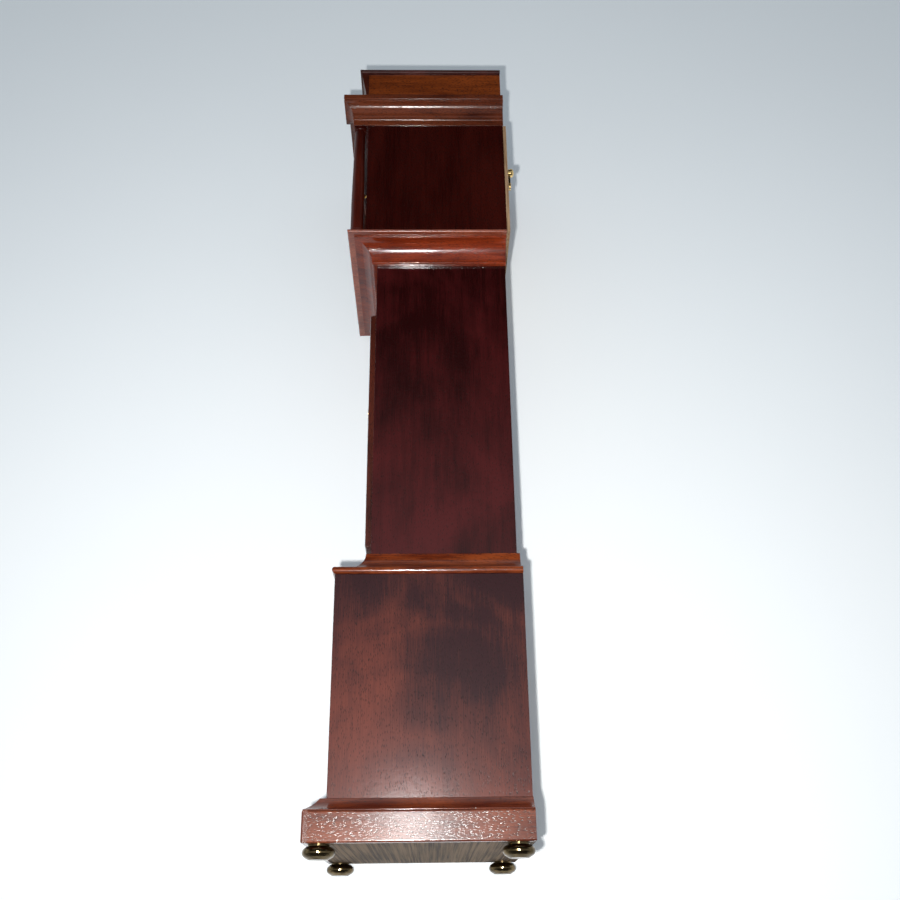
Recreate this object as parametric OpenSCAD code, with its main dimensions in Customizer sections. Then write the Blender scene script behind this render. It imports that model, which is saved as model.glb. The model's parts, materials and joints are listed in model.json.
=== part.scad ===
// Miniature mahogany longcase clock: case, doors, dial and spring-driven pendulum movement.
// X is the viewer's right, Y runs to the back and Z is up. The feet stand on Z = 0.
// The origin is under the middle of the bounding box. Sizes are in millimetres.

/* [Plinth and feet] */
// Height of a bun foot
foot_h = 7; // [5:0.5:10]
// Greatest diameter of a bun foot
foot_d = 16; // [12:0.5:18]
// Distance from a plinth face to the middle of a foot
foot_inset = 8.15; // [6:0.05:14]
// Width of the plinth
plinth_w = 146.6; // [144:0.1:156]
// Depth of the plinth, from its front face to the back of the case
plinth_d = 112.7; // [111:0.1:120]
// Height of the plinth block
plinth_h = 14.8; // [12:0.1:18]
// Thickness of the mahogany facing round the bottom board
facing_t = 3; // [2:0.1:4]
// Radius of the plinth's rounded edges
plinth_round = 1; // [0.5:0.1:1.4]
// Height of the moulding on top of the plinth
plinth_mould_h = 6.4; // [5:0.1:9]

/* [Base] */
// How far the plinth projects from the base
plinth_out = 10.7; // [8:0.1:12]
// Height of the base boards above the plinth
base_h = 122.5; // [110:0.5:135]
// Thickness of the case boards
board_t = 5; // [4:0.1:6]
// Height of the half-round bead at the foot of the base moulding
bead_h = 4.2; // [3:0.1:5]
// How far the bead stands proud of the base
bead_proud = 1.5; // [1:0.1:2]
// Height of the cove above the bead
base_cove_h = 12.7; // [10:0.1:14]

/* [Trunk] */
// How far the base projects from the trunk
base_out = 18; // [16:0.1:19.5]
// Height of the trunk that shows between its mouldings
trunk_h = 196.8; // [190:0.5:215]
// How far the trunk's back edge stays in front of the case's back
trunk_recess = 1.5; // [1:0.1:2]
// Thickness of the back board
back_board_t = 3; // [2:0.1:4]
// Height of the coved throat moulding
throat_h = 13.6; // [12:0.1:16]
// How far the throat moulding's back stays in front of the case's back
throat_recess = 1.1; // [1:0.1:2]
// Thickness of the rim board that the hood stands on
rim_t = 2.2; // [2:0.1:3]
// How far the rim board projects from the trunk
rim_reach = 18.5; // [18:0.1:20]

/* [Trunk door] */
// Distance from a side of the trunk to the trunk door's lip
door_margin = 6.6; // [6.2:0.1:9]
// Height of the trunk door to its shoulders
door_shoulder_h = 156; // [140:0.5:162]
// Gap from the base moulding up to the trunk door
door_gap = 7.4; // [5:0.1:10]
// Width of each shoulder beside the arch at the top of the trunk door
door_shoulder_w = 13; // [10:0.5:18]
// Rise of that arch above the shoulders
door_arch_rise = 20; // [15:0.5:23]
// Thickness of the lip that lies on the trunk's front
door_lip_t = 3.9; // [3:0.1:4.5]
// How far the lip overlaps the opening
door_overlap = 4; // [3:0.1:5]
// Thickness of the part of the door inside the opening
door_core_t = 4; // [3:0.1:4.5]
// Gap between that part and the opening
door_play = 0.6; // [0.4:0.1:1]

/* [Hood] */
// Distance from the rim's side edge to the hood's side
rim_edge = 2.1; // [1.1:0.1:3]
// Height of the hood's sides between rim and cornice
hood_h = 87; // [85:0.5:94]
// Distance from the rim's front edge to the hood's front face
rim_front = 11.5; // [10.5:0.1:12.5]
// How far the hood sides' back edges stay in front of the case's back
hood_recess = 0.7; // [0.5:0.1:1]
// Thickness of the back frame and the back door
back_frame_t = 2.2; // [2:0.1:3]
// Distance from a side of the hood to the opening for the back door
back_post = 14; // [13:0.5:16]
// Height of the rails above and below the opening for the back door
back_rail_h = 6; // [5.5:0.5:8]
// Thickness of the board on top of the hood
hood_top_t = 5; // [4:0.1:6]
// Distance from a side of the hood to the opening for the glazed door
hood_post = 15; // [14:0.5:17]
// Height of the rails above and below that opening
hood_rail_h = 4; // [3.5:0.1:6]
// Width of the glazed door's stiles and rails
hood_stile = 9; // [8:0.1:11]
// Thickness of the glazed door
hood_door_t = 4.5; // [4:0.1:5]
// Thickness of the glass
glass_t = 1.5; // [1.2:0.1:2]
// Depth of the rebate for the glass, from the door's back
glass_rebate = 2.2; // [2:0.1:2.6]
// How far that rebate reaches out from the window
glass_step = 2; // [1.5:0.1:3]
// Gap all round each inset door
inset_play = 0.4; // [0.3:0.05:0.6]
// Radius of the pins that the glazed door swings on
door_pin_r = 0.8; // [0.6:0.05:1]
// How deep those pins go into the hood's front
door_pin_h = 2.2; // [1.5:0.1:3]

/* [Columns] */
// Diameter of a column at its foot
column_d_foot = 8.6; // [7.4:0.1:8.8]
// Diameter of a column below its cap
column_d_top = 6.9; // [6:0.1:7.4]
// Distance from the hood's front face to the middle of a column
column_out = 5.7; // [5.4:0.1:6]
// Distance from the hood's side to the middle of a column
column_in = 4.3; // [4.2:0.1:5]
// Height of a column's turned base and of its cap
column_turning_h = 3.4; // [3:0.1:5]

/* [Cornice and top] */
// Height of the cornice
cornice_h = 20.8; // [18:0.1:24]
// How far the cornice projects
cornice_reach = 7.1; // [6:0.1:8]
// Distance from the hood's front face to the back of the cornice's front
cornice_front = 9.4; // [9:0.1:10]
// How far the cornice breaks forward over each column
cornice_break = 2.6; // [2:0.1:3]
// Height of the top box that shows above the cornice
box_h = 25; // [21:0.1:28]
// Thickness of the top box's boards
box_t = 2.3; // [2:0.1:3]
// Thickness of the top board
lid_t = 3; // [2.4:0.1:3.4]
// How far the top board overhangs the front
lid_front = 6; // [5.5:0.1:7]
// How far the top board overhangs each side
lid_side = 2.5; // [1:0.1:3]
// How far the top box stands in front of the hood's front
box_proud = 0.5; // [0.2:0.1:1]
// How far the top box stays in front of the case's back
box_recess = 1.2; // [1:0.1:2]
// How far the cornice stays in front of the case's back
cornice_recess = 0.3; // [0.3:0.1:1]

/* [Hook and hinges] */
// Length of the hook from its pivot to its curl
hook_len = 11.5; // [10:0.1:13]
// Thickness of the hook
hook_t = 1.2; // [1:0.1:1.5]
// Distance from the hood's side to the hook's pivot
hook_in = 7; // [6.5:0.1:8]
// Thickness of the washer that holds the hook off the frame
hook_stand = 0.8; // [0.6:0.1:1]
// Height of the screw's round head
screw_head_h = 2.5; // [2:0.1:3]
// Radius of the stud that the hook catches
stud_r = 0.9; // [0.7:0.05:1.1]
// Height of the hook's pivot above the rim board
hook_z = 52.5; // [45:0.5:60]
// Outer radius of a hinge knuckle
knuckle_r = 1; // [0.9:0.05:1.2]
// Radius of a hinge pin
hinge_pin_r = 0.5; // [0.4:0.05:0.6]
// Thickness of a hinge leaf
leaf_t = 0.6; // [0.5:0.05:0.8]
// Height of a hinge
hinge_h = 12; // [9:0.5:16]

/* [Dial and hands] */
// How far the dial plate reaches behind the glazed door's stiles
dial_lap = 1.4; // [1:0.1:3]
// How far the dial plate reaches behind that door's rails
dial_lap_h = 3.9; // [3:0.1:5]
// Thickness of the dial plate
dial_t = 1; // [0.8:0.1:1.2]
// Gap between the movement's front plate and the dial
dial_gap = 5; // [5:0.1:6]
// Length of the minute hand
minute_len = 26; // [22:0.5:29]
// Length of the hour hand
hour_len = 18; // [14:0.5:20]

/* [Movement] */
// Width of the movement's plates
plate_w = 66; // [64:0.5:70]
// Thickness of a plate
plate_t = 1.5; // [1.2:0.1:1.8]
// Distance between the plates
plate_gap = 18.5; // [18.5:0.1:20]
// Distance from the hood's front face to the front plate
plate_in = 16; // [15.5:0.1:17]
// Thickness of the seat board
seat_t = 4; // [3:0.1:5]
// Radius of the arbors
arbor_r = 0.9; // [0.8:0.05:1]
// Radius of the pivots at the arbors' ends
pivot_r = 0.6; // [0.5:0.05:0.7]
// Radial clearance of anything that turns on or in another piece
running = 0.05; // [0.03:0.01:0.08]
// Thickness of a wheel
wheel_t = 1; // [0.8:0.1:1.2]
// Radius of the escape wheel over its teeth
escape_r = 9; // [8.5:0.1:9.2]
// Outer radius of the spring barrel
barrel_r = 14.5; // [13:0.1:15]
// Length of the spring barrel
barrel_len = 11.5; // [10:0.1:12]
// Radius of the winding arbor
winding_r = 2.2; // [2:0.1:2.5]
// Distance from the back plate to the pendulum
pendulum_out = 5.5; // [5:0.1:6]
// Gap between the seat board's ends and the hood's sides
seat_gap = 6; // [3:0.5:9]
// Length of the pendulum from its pivot to the middle of its bob
pendulum_len = 248; // [230:1:250]
// Diameter of the pendulum's bob
bob_d = 30; // [24:1:34]
// Thickness of the pendulum's bob
bob_t = 8; // [6:0.5:9]
// Radius of the pendulum's rod
rod_r = 1; // [0.8:0.1:1.2]

/* [Hidden] */
$fn = 48;
e = 0.01;

// The latch's head sets how far the clock reaches behind the case.
latch_reach = hook_stand + hook_t + screw_head_h;
hood_back_out = back_frame_t - hood_recess;
back_y = (plinth_d - hood_back_out - latch_reach) / 2;

// Widths and depths of the tiers, each from the one below it
base_w = plinth_w - 2 * plinth_out;
base_d = plinth_d - plinth_out;
trunk_w = base_w - 2 * base_out;
trunk_d = base_d - base_out - trunk_recess;
door_w = trunk_w - 2 * door_margin;
door_arch_w = door_w - 2 * door_shoulder_w;
rim_half = trunk_w / 2 + rim_reach;
hood_w = 2 * (rim_half - rim_edge);
hood_d = trunk_recess + trunk_d + rim_reach - rim_front;

// Heights of the tiers
plinth_z = foot_h;
base_z = plinth_z + plinth_h;
bead_z = base_z + base_h;
trunk_z = bead_z + bead_h + base_cove_h;
throat_z = trunk_z + trunk_h;
rim_z = throat_z + throat_h;
hood_z = rim_z + rim_t;
hood_top_z = hood_z + hood_h;
cornice_top_z = hood_top_z + cornice_h;
lid_z = cornice_top_z + box_h;

// Front and back faces of the tiers
plinth_y = back_y - plinth_d;
base_y = back_y - base_d;
trunk_back_y = back_y - trunk_recess;
trunk_y = trunk_back_y - trunk_d;
hood_y = back_y - hood_d;
hood_back_y = back_y - hood_recess;
frame_back_y = hood_back_y + back_frame_t;
throat_back_y = back_y - throat_recess;
cornice_y = hood_y - cornice_front;
break_x = hood_w / 2 - column_in - column_d_foot / 2;
break_y = cornice_y + cornice_break;
box_back_y = back_y - box_recess;
box_y = hood_y - box_proud;

// The trunk door and its opening
trunk_door_z = trunk_z + door_gap;
shoulder_z = trunk_door_z + door_shoulder_h;
trunk_hinge_x = -door_w / 2 - knuckle_r - 0.2;
trunk_hinge_y = trunk_y - knuckle_r - 0.1;

// The glazed door and its opening
hood_open_w = hood_w - 2 * hood_post;
hood_open_z = hood_z + hood_rail_h;
hood_open_h = hood_h - 2 * hood_rail_h;
hood_door_w = hood_open_w - 2 * inset_play;
hood_door_h = hood_open_h - 2 * inset_play;
window_w = hood_door_w - 2 * hood_stile;
window_h = hood_door_h - 2 * hood_stile;
dial_w = window_w + 2 * dial_lap;
dial_h = window_h + 2 * dial_lap_h;
hood_hinge_x = -hood_door_w / 2 + hood_door_t / 2;
hood_hinge_y = hood_y + hood_door_t / 2;

// The back door and its opening
back_open_w = hood_w - 2 * back_post;
back_open_h = hood_h - 2 * back_rail_h;
back_open_z = hood_z + back_rail_h;
back_hinge_x = -back_open_w / 2;
back_hinge_y = frame_back_y + knuckle_r + 0.1;
latch_z = hood_z + hook_z;
latch_x = hood_w / 2 - hook_in;
stud_x = latch_x - hook_len;

// The movement: its plates and the places of its arbors
plate_y = hood_y + plate_in;
back_plate_y = plate_y + plate_t + plate_gap;
seat_z = hood_z;
plates_z = seat_z + seat_t;
plates_h = hood_h - seat_t - 1.5;
centre_z = hood_z + hood_h / 2;
great_module = 0.5;
train_module = 0.45;
motion_module = 0.5;
hour_module = 0.4;
great_teeth = 72;
centre_leaves = 8;
centre_teeth = 72;
third_leaves = 6;
third_teeth = 60;
escape_leaves = 6;
escape_teeth = 30;
cannon_leaves = 12;
minute_teeth = 36;
minute_leaves = 12;
hour_teeth = 48;
barrel_angle = 225;
third_angle = 55;
great_dist = great_module * (great_teeth + centre_leaves) / 2;
third_dist = train_module * (centre_teeth + third_leaves) / 2;
escape_dist = train_module * (third_teeth + escape_leaves) / 2;
motion_dist = motion_module * (cannon_leaves + minute_teeth) / 2;
barrel_x = great_dist * cos(barrel_angle);
barrel_z = centre_z + great_dist * sin(barrel_angle);
third_x = third_dist * cos(third_angle);
third_z = centre_z + third_dist * sin(third_angle);
escape_z = third_z + sqrt(escape_dist * escape_dist - third_x * third_x);
pallet_z = escape_z + escape_r * sqrt(2);
pendulum_y = back_plate_y + plate_t + pendulum_out;
pendulum_z = pallet_z;
bob_z = pendulum_z - pendulum_len;
cannon_r = arbor_r + running + 0.65;
hour_pipe_r = cannon_r + 2 * running + 0.8;
dial_y = plate_y - dial_gap - dial_t;

mahogany = [0.27, 0.08, 0.05];
mahogany_warm = [0.52, 0.25, 0.12];
mahogany_light = [0.42, 0.2, 0.15];
raw_wood = [0.62, 0.5, 0.38];
brass = [0.72, 0.55, 0.27];
brass_dark = [0.42, 0.33, 0.18];
steel = [0.5, 0.52, 0.55];

// Points of an arc of an ellipse, from angle a0 to a1
function arc(cx, cy, rx, ry, a0, a1, n) =
    [for (i = [0 : n]) let (a = a0 + (a1 - a0) * i / n) [cx + rx * cos(a), cy + ry * sin(a)]];

// Outline of a wheel with straight-sided teeth, a tooth pointing along angle turn
function teeth(m, n, turn = 0, add = 0.85, ded = 1.15, share = 0.42, tip = 0.5) =
    let (rp = m * n / 2, ro = rp + add * m, ri = rp - ded * m, p = 360 / n)
    [for (i = [0 : n - 1], q = [[-0.62, ri], [-0.5, rp], [-0.5 * tip, ro],
            [0.5 * tip, ro], [0.5, rp], [0.62, ri]])
        let (a = turn + p * (i + q[0] * share)) [q[1] * cos(a), q[1] * sin(a)]];

// A board from its lowest corner, with its size
module board(at, size) {
    translate(at) cube(size);
}

// A board that spans the middle: half width, front, back, bottom, top
module span_board(half_w, y0, y1, z0, z1) {
    translate([-half_w, y0, z0]) cube([2 * half_w, y1 - y0, z1 - z0]);
}

// A moulding round the front and both sides, mitred at the corners and square at the back.
// Its child is the profile: x is the distance out from the face, y is the height.
module mitred(half_w, front_y, end_y, reach, inset = 0) {
    long = 2 * (half_w + reach);
    deep = end_y - front_y + reach;
    tall = 600;
    intersection() {
        translate([0, front_y, 0]) rotate([90, 0, -90]) linear_extrude(long, center = true) children();
        linear_extrude(tall) polygon([[-half_w + inset, front_y + inset], [half_w - inset, front_y + inset],
            [half_w + reach, front_y - reach], [-half_w - reach, front_y - reach]]);
    }
    for (s = [0, 1]) mirror([s, 0, 0]) intersection() {
        translate([half_w, end_y, 0]) rotate([90, 0, 0]) linear_extrude(deep) children();
        linear_extrude(tall) polygon([[half_w - inset, end_y], [half_w + reach, end_y],
            [half_w + reach, front_y - reach], [half_w - inset, front_y + inset]]);
    }
}

// Turns a shape made along Z so that it runs along Y, at a place in X and Z
module along_y(x, y, z) {
    translate([x, y, z]) rotate([-90, 0, 0]) children();
}

// A rod along Y
module rod_y(x, y, z, r, len) {
    along_y(x, y, z) cylinder(r = r, h = len);
}

// Outline with rounded corners
module rounded(w, h, r) {
    square([w - 2 * r, h], center = true);
    square([w, h - 2 * r], center = true);
    for (x = [-1, 1], y = [-1, 1]) translate([x * (w / 2 - r), y * (h / 2 - r)]) circle(r);
}

// Plinth and feet

module plinth_profile(t, h, r) {
    difference() {
        square([t, h]);
        for (s = [0, 1]) translate([t - r, s * h + (s == 0 ? r : -r)]) difference() {
            translate([0, s == 0 ? -r - e : 0]) square([r + e, r + e]);
            circle(r);
        }
    }
}

module bottom_board() {
    color(raw_wood) span_board(plinth_w / 2 - facing_t, plinth_y + facing_t, back_y, plinth_z, base_z);
}

module plinth_front() {
    color(mahogany_light) intersection() {
        translate([0, plinth_y + facing_t, plinth_z]) rotate([90, 0, -90])
            linear_extrude(plinth_w, center = true) plinth_profile(facing_t, plinth_h, plinth_round);
        translate([0, plinth_y + plinth_w / 2, 0]) linear_extrude(base_z)
            rounded(plinth_w, plinth_w, plinth_round);
    }
}

module plinth_side(s) {
    color(mahogany_light) mirror([s, 0, 0]) translate([plinth_w / 2 - facing_t, back_y, plinth_z])
        rotate([90, 0, 0]) linear_extrude(plinth_d - facing_t)
            plinth_profile(facing_t, plinth_h, plinth_round);
}

module plinth_side_left() { plinth_side(1); }

module plinth_side_right() { plinth_side(0); }

// A shallow cove between a top fillet and a narrow lower one
module plinth_moulding() {
    out = (plinth_w - base_w) / 2;
    fillet = out * 0.299;
    low = plinth_mould_h * 0.078;
    lip = plinth_mould_h / 16;
    dx = out - lip - fillet;
    dz = plinth_mould_h - low - lip;
    chord = sqrt(dx * dx + dz * dz);
    sag = chord / 15;
    r = (chord * chord / 4 + sag * sag) / (2 * sag);
    mid = [fillet + dx / 2, plinth_mould_h - lip - dz / 2];
    out_dir = [dz, dx] / chord;
    color(mahogany) mitred(base_w / 2, base_y, back_y, out + 1)
        translate([0, base_z]) difference() {
            polygon([[0, 0], [out - lip, 0], [out - lip, low], [fillet, plinth_mould_h - lip],
                [fillet, plinth_mould_h], [0, plinth_mould_h]]);
            translate(mid + out_dir * (r - sag)) circle(r, $fn = 96);
        }
}

foot_y_front = plinth_y + foot_inset;
foot_y_back = back_y - foot_inset;

module bun_feet() {
    color(brass_dark) for (x = [-1, 1], y = [foot_y_front, foot_y_back])
        translate([x * (plinth_w / 2 - foot_inset), y, 0]) rotate_extrude()
            polygon(concat([[0, 0], [foot_d * 0.3, 0]],
                arc(foot_d * 0.29, foot_h * 0.47, foot_d * 0.21, foot_h * 0.4, -60, 70, 8),
                [[foot_d * 0.33, foot_h * 0.88], [foot_d * 0.33, foot_h], [0, foot_h]]));
}

// Base

module base_front() {
    color(mahogany_light) span_board(base_w / 2 - board_t, base_y, base_y + board_t, base_z, bead_z);
}

module base_side(s) {
    color(mahogany_light) mirror([s, 0, 0])
        board([base_w / 2 - board_t, base_y, base_z], [board_t, base_d, base_h]);
}

module base_side_left() { base_side(1); }

module base_side_right() { base_side(0); }

// A half-round bead under a wide cove, up to a narrow fillet against the trunk
module base_moulding() {
    out = (base_w - trunk_w) / 2;
    fillet = 2.5;
    r = bead_h / 2;
    color(mahogany_warm) mitred(trunk_w / 2, trunk_y, back_y, out + bead_proud + 1)
        translate([0, bead_z]) polygon(concat(
            [[0, 0], [out + bead_proud - r, 0]],
            arc(out + bead_proud - r, r, r, r, -80, 80, 10),
            [[out + bead_proud - r, bead_h]],
            arc(out + bead_proud, bead_h + base_cove_h, out + bead_proud - fillet, base_cove_h, 263, 180, 16),
            [[0, bead_h + base_cove_h]]));
}

// One board closes the back of base and trunk
module back_board() {
    base_half = base_w / 2 - board_t;
    trunk_half = trunk_w / 2 - board_t;
    color(raw_wood) translate([0, trunk_back_y, 0]) rotate([90, 0, 0]) linear_extrude(back_board_t)
        polygon([[-base_half, base_z], [base_half, base_z], [base_half, bead_z], [trunk_half, bead_z],
            [trunk_half, rim_z], [-trunk_half, rim_z], [-trunk_half, bead_z], [-base_half, bead_z]]);
}

// Trunk

// Outline of the trunk door or its opening, drawn smaller than the lip by inset
module arched(inset) {
    half = door_arch_w / 2 - inset;
    rise = door_arch_rise - inset * 0.3;
    r = (half * half + rise * rise) / (2 * rise);
    top = shoulder_z - inset;
    translate([-door_w / 2 + inset, trunk_door_z + inset])
        square([door_w - 2 * inset, top - trunk_door_z - inset]);
    intersection() {
        translate([0, top + rise - r - inset * 0.5]) circle(r, $fn = 96);
        translate([-half, top - e]) square([2 * half, rise + 1]);
    }
}

module trunk_front() {
    color(mahogany) difference() {
        span_board(trunk_w / 2, trunk_y, trunk_y + board_t, bead_z, rim_z);
        translate([0, trunk_y + board_t + 1, 0]) rotate([90, 0, 0]) linear_extrude(board_t + 2)
            arched(door_overlap);
    }
}

module trunk_side(s) {
    color(mahogany) mirror([s, 0, 0]) board([trunk_w / 2 - board_t, trunk_y + board_t, bead_z],
        [board_t, trunk_d - board_t, rim_z - bead_z]);
}

module trunk_side_left() { trunk_side(1); }

module trunk_side_right() { trunk_side(0); }

// A cove that rises from a small fillet to a square step under the rim board
module throat_moulding() {
    foot_fillet = 3.3;
    cove_out = 10;
    step = 1.3;
    foot = 1.3;
    color(mahogany_warm) mitred(trunk_w / 2, trunk_y, throat_back_y, foot_fillet + cove_out + 2)
        translate([0, throat_z]) polygon(concat(
            [[0, 0], [2.6, 0], [foot_fillet, 0.6]],
            arc(foot_fillet + cove_out, foot, cove_out, throat_h - foot - step, 180, 90, 16),
            [[foot_fillet + cove_out + 1, throat_h - step], [foot_fillet + cove_out + 1, throat_h],
            [0, throat_h]]));
}

// The well in the rim board that the pendulum hangs through
well_half = trunk_w / 2 - board_t - 5.6;
well_front = plate_y - 2;
well_back = back_y - 12;

// The rim board: rounded at its front and side edges, with a well for the pendulum
module hood_base() {
    front = trunk_y - rim_reach;
    r = rim_t / 2;
    color(mahogany_warm) difference() {
        union() {
            span_board(rim_half - r, front + r, throat_back_y, rim_z, hood_z);
            mitred(rim_half - r, front + r, throat_back_y, r + 1)
                translate([0, rim_z + r]) intersection() {
                    circle(r);
                    translate([0, -r]) square([r, rim_t]);
                }
        }
        board([-well_half, well_front, rim_z - 1], [2 * well_half, well_back - well_front, rim_t + 2]);
    }
}

// Trunk door

module trunk_door() {
    color(mahogany) {
        translate([0, trunk_y, 0]) rotate([90, 0, 0]) linear_extrude(door_lip_t) arched(0);
        translate([0, trunk_y + door_core_t, 0]) rotate([90, 0, 0]) linear_extrude(door_core_t + e)
            arched(door_overlap + door_play);
    }
}

escutcheon_t = 0.5;

// A drop-shaped brass plate with a keyhole
module trunk_door_escutcheon() {
    x = door_w / 2 - 9;
    z = trunk_door_z + door_shoulder_h * 0.58;
    color(brass) translate([x, trunk_y - door_lip_t, z]) rotate([90, 0, 0])
        linear_extrude(escutcheon_t) difference() {
            union() {
                circle(3.2);
                translate([0, -3]) circle(2.4);
            }
            circle(1.1);
            translate([-0.55, -3.4]) square([1.1, 3.4]);
        }
}

trunk_hinge_zs = [trunk_door_z + 22, shoulder_z - 22];

// Knuckles of a hinge: the middle one belongs to the door, the outer two to the case
module knuckles(x, y, z, mine) {
    third = hinge_h / 3;
    for (i = mine) translate([x, y, z - hinge_h / 2 + i * third + running]) difference() {
        cylinder(r = knuckle_r, h = third - 2 * running);
        translate([0, 0, -1]) cylinder(r = hinge_pin_r + running, h = third + 2);
    }
}

module hinge_pin(x, y, z) {
    translate([x, y, z - hinge_h / 2]) cylinder(r = hinge_pin_r, h = hinge_h);
    for (s = [-1, 1]) translate([x, y, z + s * (hinge_h / 2 + 0.3) - 0.3])
        cylinder(r = knuckle_r, h = 0.6);
}

// Case half of the trunk door's two butt hinges, with their pins
module trunk_hinges() {
    leaf_w = 4.6;
    third = hinge_h / 3;
    color(brass) for (z = trunk_hinge_zs) {
        knuckles(trunk_hinge_x, trunk_hinge_y, z, [0, 2]);
        for (i = [0, 2]) difference() {
            board([trunk_hinge_x - leaf_w, trunk_y - leaf_t, z - hinge_h / 2 + i * third + running],
                [leaf_w, leaf_t, third - 2 * running]);
            translate([trunk_hinge_x, trunk_hinge_y, z - hinge_h])
                cylinder(r = knuckle_r - e, h = 2 * hinge_h);
        }
        board([trunk_hinge_x - leaf_w, trunk_y - leaf_t, z - hinge_h / 2 + running],
            [leaf_w - knuckle_r - 0.3, leaf_t, hinge_h - 2 * running]);
        hinge_pin(trunk_hinge_x, trunk_hinge_y, z);
    }
}

// Door half, let onto the edge of the lip
module trunk_door_leaves() {
    third = hinge_h / 3;
    color(brass) for (z = trunk_hinge_zs) {
        knuckles(trunk_hinge_x, trunk_hinge_y, z, [1]);
        difference() {
            board([-door_w / 2 - 0.4, trunk_y - door_lip_t + 0.3, z - third / 2 + running],
                [0.4, door_lip_t - 0.6, third - 2 * running]);
            translate([trunk_hinge_x, trunk_hinge_y, z - hinge_h])
                cylinder(r = knuckle_r - e, h = 2 * hinge_h);
        }
    }
}

// Hood

module hood_front() {
    color(mahogany) difference() {
        span_board(hood_w / 2, hood_y, hood_y + board_t, hood_z, hood_top_z);
        span_board(hood_open_w / 2, hood_y - 1, hood_y + board_t + 1, hood_open_z,
            hood_open_z + hood_open_h);
        translate([hood_hinge_x, hood_hinge_y, hood_open_z - door_pin_h - 0.2])
            cylinder(r = door_pin_r + running, h = hood_open_h + 2 * door_pin_h + 0.4);
    }
}

module hood_side(s) {
    color(mahogany) mirror([s, 0, 0]) board([hood_w / 2 - board_t, hood_y + board_t, hood_z],
        [board_t, hood_back_y - hood_y - board_t, hood_h]);
}

module hood_side_left() { hood_side(1); }

module hood_side_right() { hood_side(0); }

// A turned column with its base and cap
module column(s) {
    foot_r = column_d_foot / 2;
    top_r = column_d_top / 2;
    t = column_turning_h;
    ring = 0.7;
    color(mahogany) translate([s * (hood_w / 2 - column_in), hood_y - column_out, hood_z])
        rotate_extrude() polygon(concat(
            [[0, 0], [foot_r + ring, 0], [foot_r + ring, t * 0.3]],
            arc(foot_r, t * 0.5, ring, t * 0.2, -90, 90, 6),
            [[foot_r - 0.1, t * 0.75], [foot_r, t], [foot_r * 0.98 + top_r * 0.02, hood_h / 3],
            [top_r, hood_h - t], [top_r - 0.1, hood_h - t * 0.75]],
            arc(top_r, hood_h - t * 0.5, ring, t * 0.2, -90, 90, 6),
            [[top_r + ring, hood_h - t * 0.3], [top_r + ring, hood_h], [0, hood_h]]));
}

module column_left() { column(-1); }

module column_right() { column(1); }

module hood_back_frame() {
    color(raw_wood) difference() {
        span_board(hood_w / 2, hood_back_y, frame_back_y, hood_z, hood_top_z);
        span_board(back_open_w / 2, hood_back_y - 1, frame_back_y + 1, back_open_z,
            back_open_z + back_open_h);
    }
}

// A board that spans the middle from its front back to end_y, and steps forward over each column
module broken_board(end_y, z0, z1) {
    span_board(hood_w / 2, break_y, end_y, z0, z1);
    for (s = [0, 1]) mirror([s, 0, 0])
        board([break_x, cornice_y, z0], [hood_w / 2 - break_x, cornice_break + e, z1 - z0]);
}

module hood_top_board() {
    color(mahogany) broken_board(hood_back_y, hood_top_z, hood_top_z + hood_top_t);
}

// Two low fascias, a cove and two fillets, from the soffit up
module cornice_profile() {
    r = cornice_reach;
    h = cornice_h;
    translate([0, hood_top_z]) polygon(concat(
        [[0, 0], [r * 0.085, 0], [r * 0.085, h * 0.202], [r * 0.141, h * 0.221], [r * 0.141, h * 0.356],
        [r * 0.169, h * 0.37]],
        arc(r * 0.986, h * 0.399, r * 0.817, h * 0.341, 180, 90, 10),
        [[r * 0.986, h * 0.798], [r * 0.93, h * 0.808], [r * 0.93, h * 0.827], [r, h * 0.837],
        [r, h], [0, h]]));
}

// The cornice breaks forward over the columns, with mitred returns
module cornice() {
    reach = cornice_reach + 1;
    color(mahogany_warm) {
        difference() {
            mitred(hood_w / 2, cornice_y, back_y - cornice_recess, reach) cornice_profile();
            translate([0, 0, hood_top_z - 1]) linear_extrude(cornice_h + 2)
                polygon([[-break_x - 1, cornice_y + 1], [break_x + 1, cornice_y + 1],
                    [break_x - reach, cornice_y - reach], [reach - break_x, cornice_y - reach]]);
        }
        translate([0, break_y, 0]) rotate([90, 0, -90])
            linear_extrude(2 * break_x, center = true) cornice_profile();
        for (s = [0, 1]) mirror([s, 0, 0]) intersection() {
            translate([break_x, cornice_y - reach, 0]) mirror([1, 0, 0]) rotate([90, 0, 0])
                mirror([0, 0, 1]) linear_extrude(reach + cornice_break) cornice_profile();
            translate([0, 0, hood_top_z - 1]) linear_extrude(cornice_h + 2)
                polygon([[break_x, cornice_y], [break_x, break_y], [break_x - reach, break_y],
                    [break_x - reach, cornice_y - reach]]);
        }
        broken_board(box_y, hood_top_z + hood_top_t, cornice_top_z);
    }
}

// Top box: its front board covers the ends of its sides
module top_box() {
    low = hood_top_z + hood_top_t;
    half = hood_w / 2;
    color(mahogany_warm) {
        span_board(half, box_y, box_y + box_t, low, lid_z);
        span_board(half, box_back_y - box_t, box_back_y, low, lid_z);
        for (s = [0, 1]) mirror([s, 0, 0]) board([half - box_t, box_y + box_t, low],
            [box_t, box_back_y - box_y - 2 * box_t, lid_z - low]);
    }
}

// A flared moulding on the front of the top box, under the top board's overhang
module crest_moulding() {
    h = box_h * 0.79;
    color(mahogany) translate([0, box_y, lid_z - h]) rotate([90, 0, -90])
        linear_extrude(hood_w, center = true) polygon([[0, 0], [1.5, 0], [2, h * 0.23],
            [3.1, h * 0.52], [4.4, h * 0.85], [4.7, h * 0.91], [4.7, h], [0, h]]);
}

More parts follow.
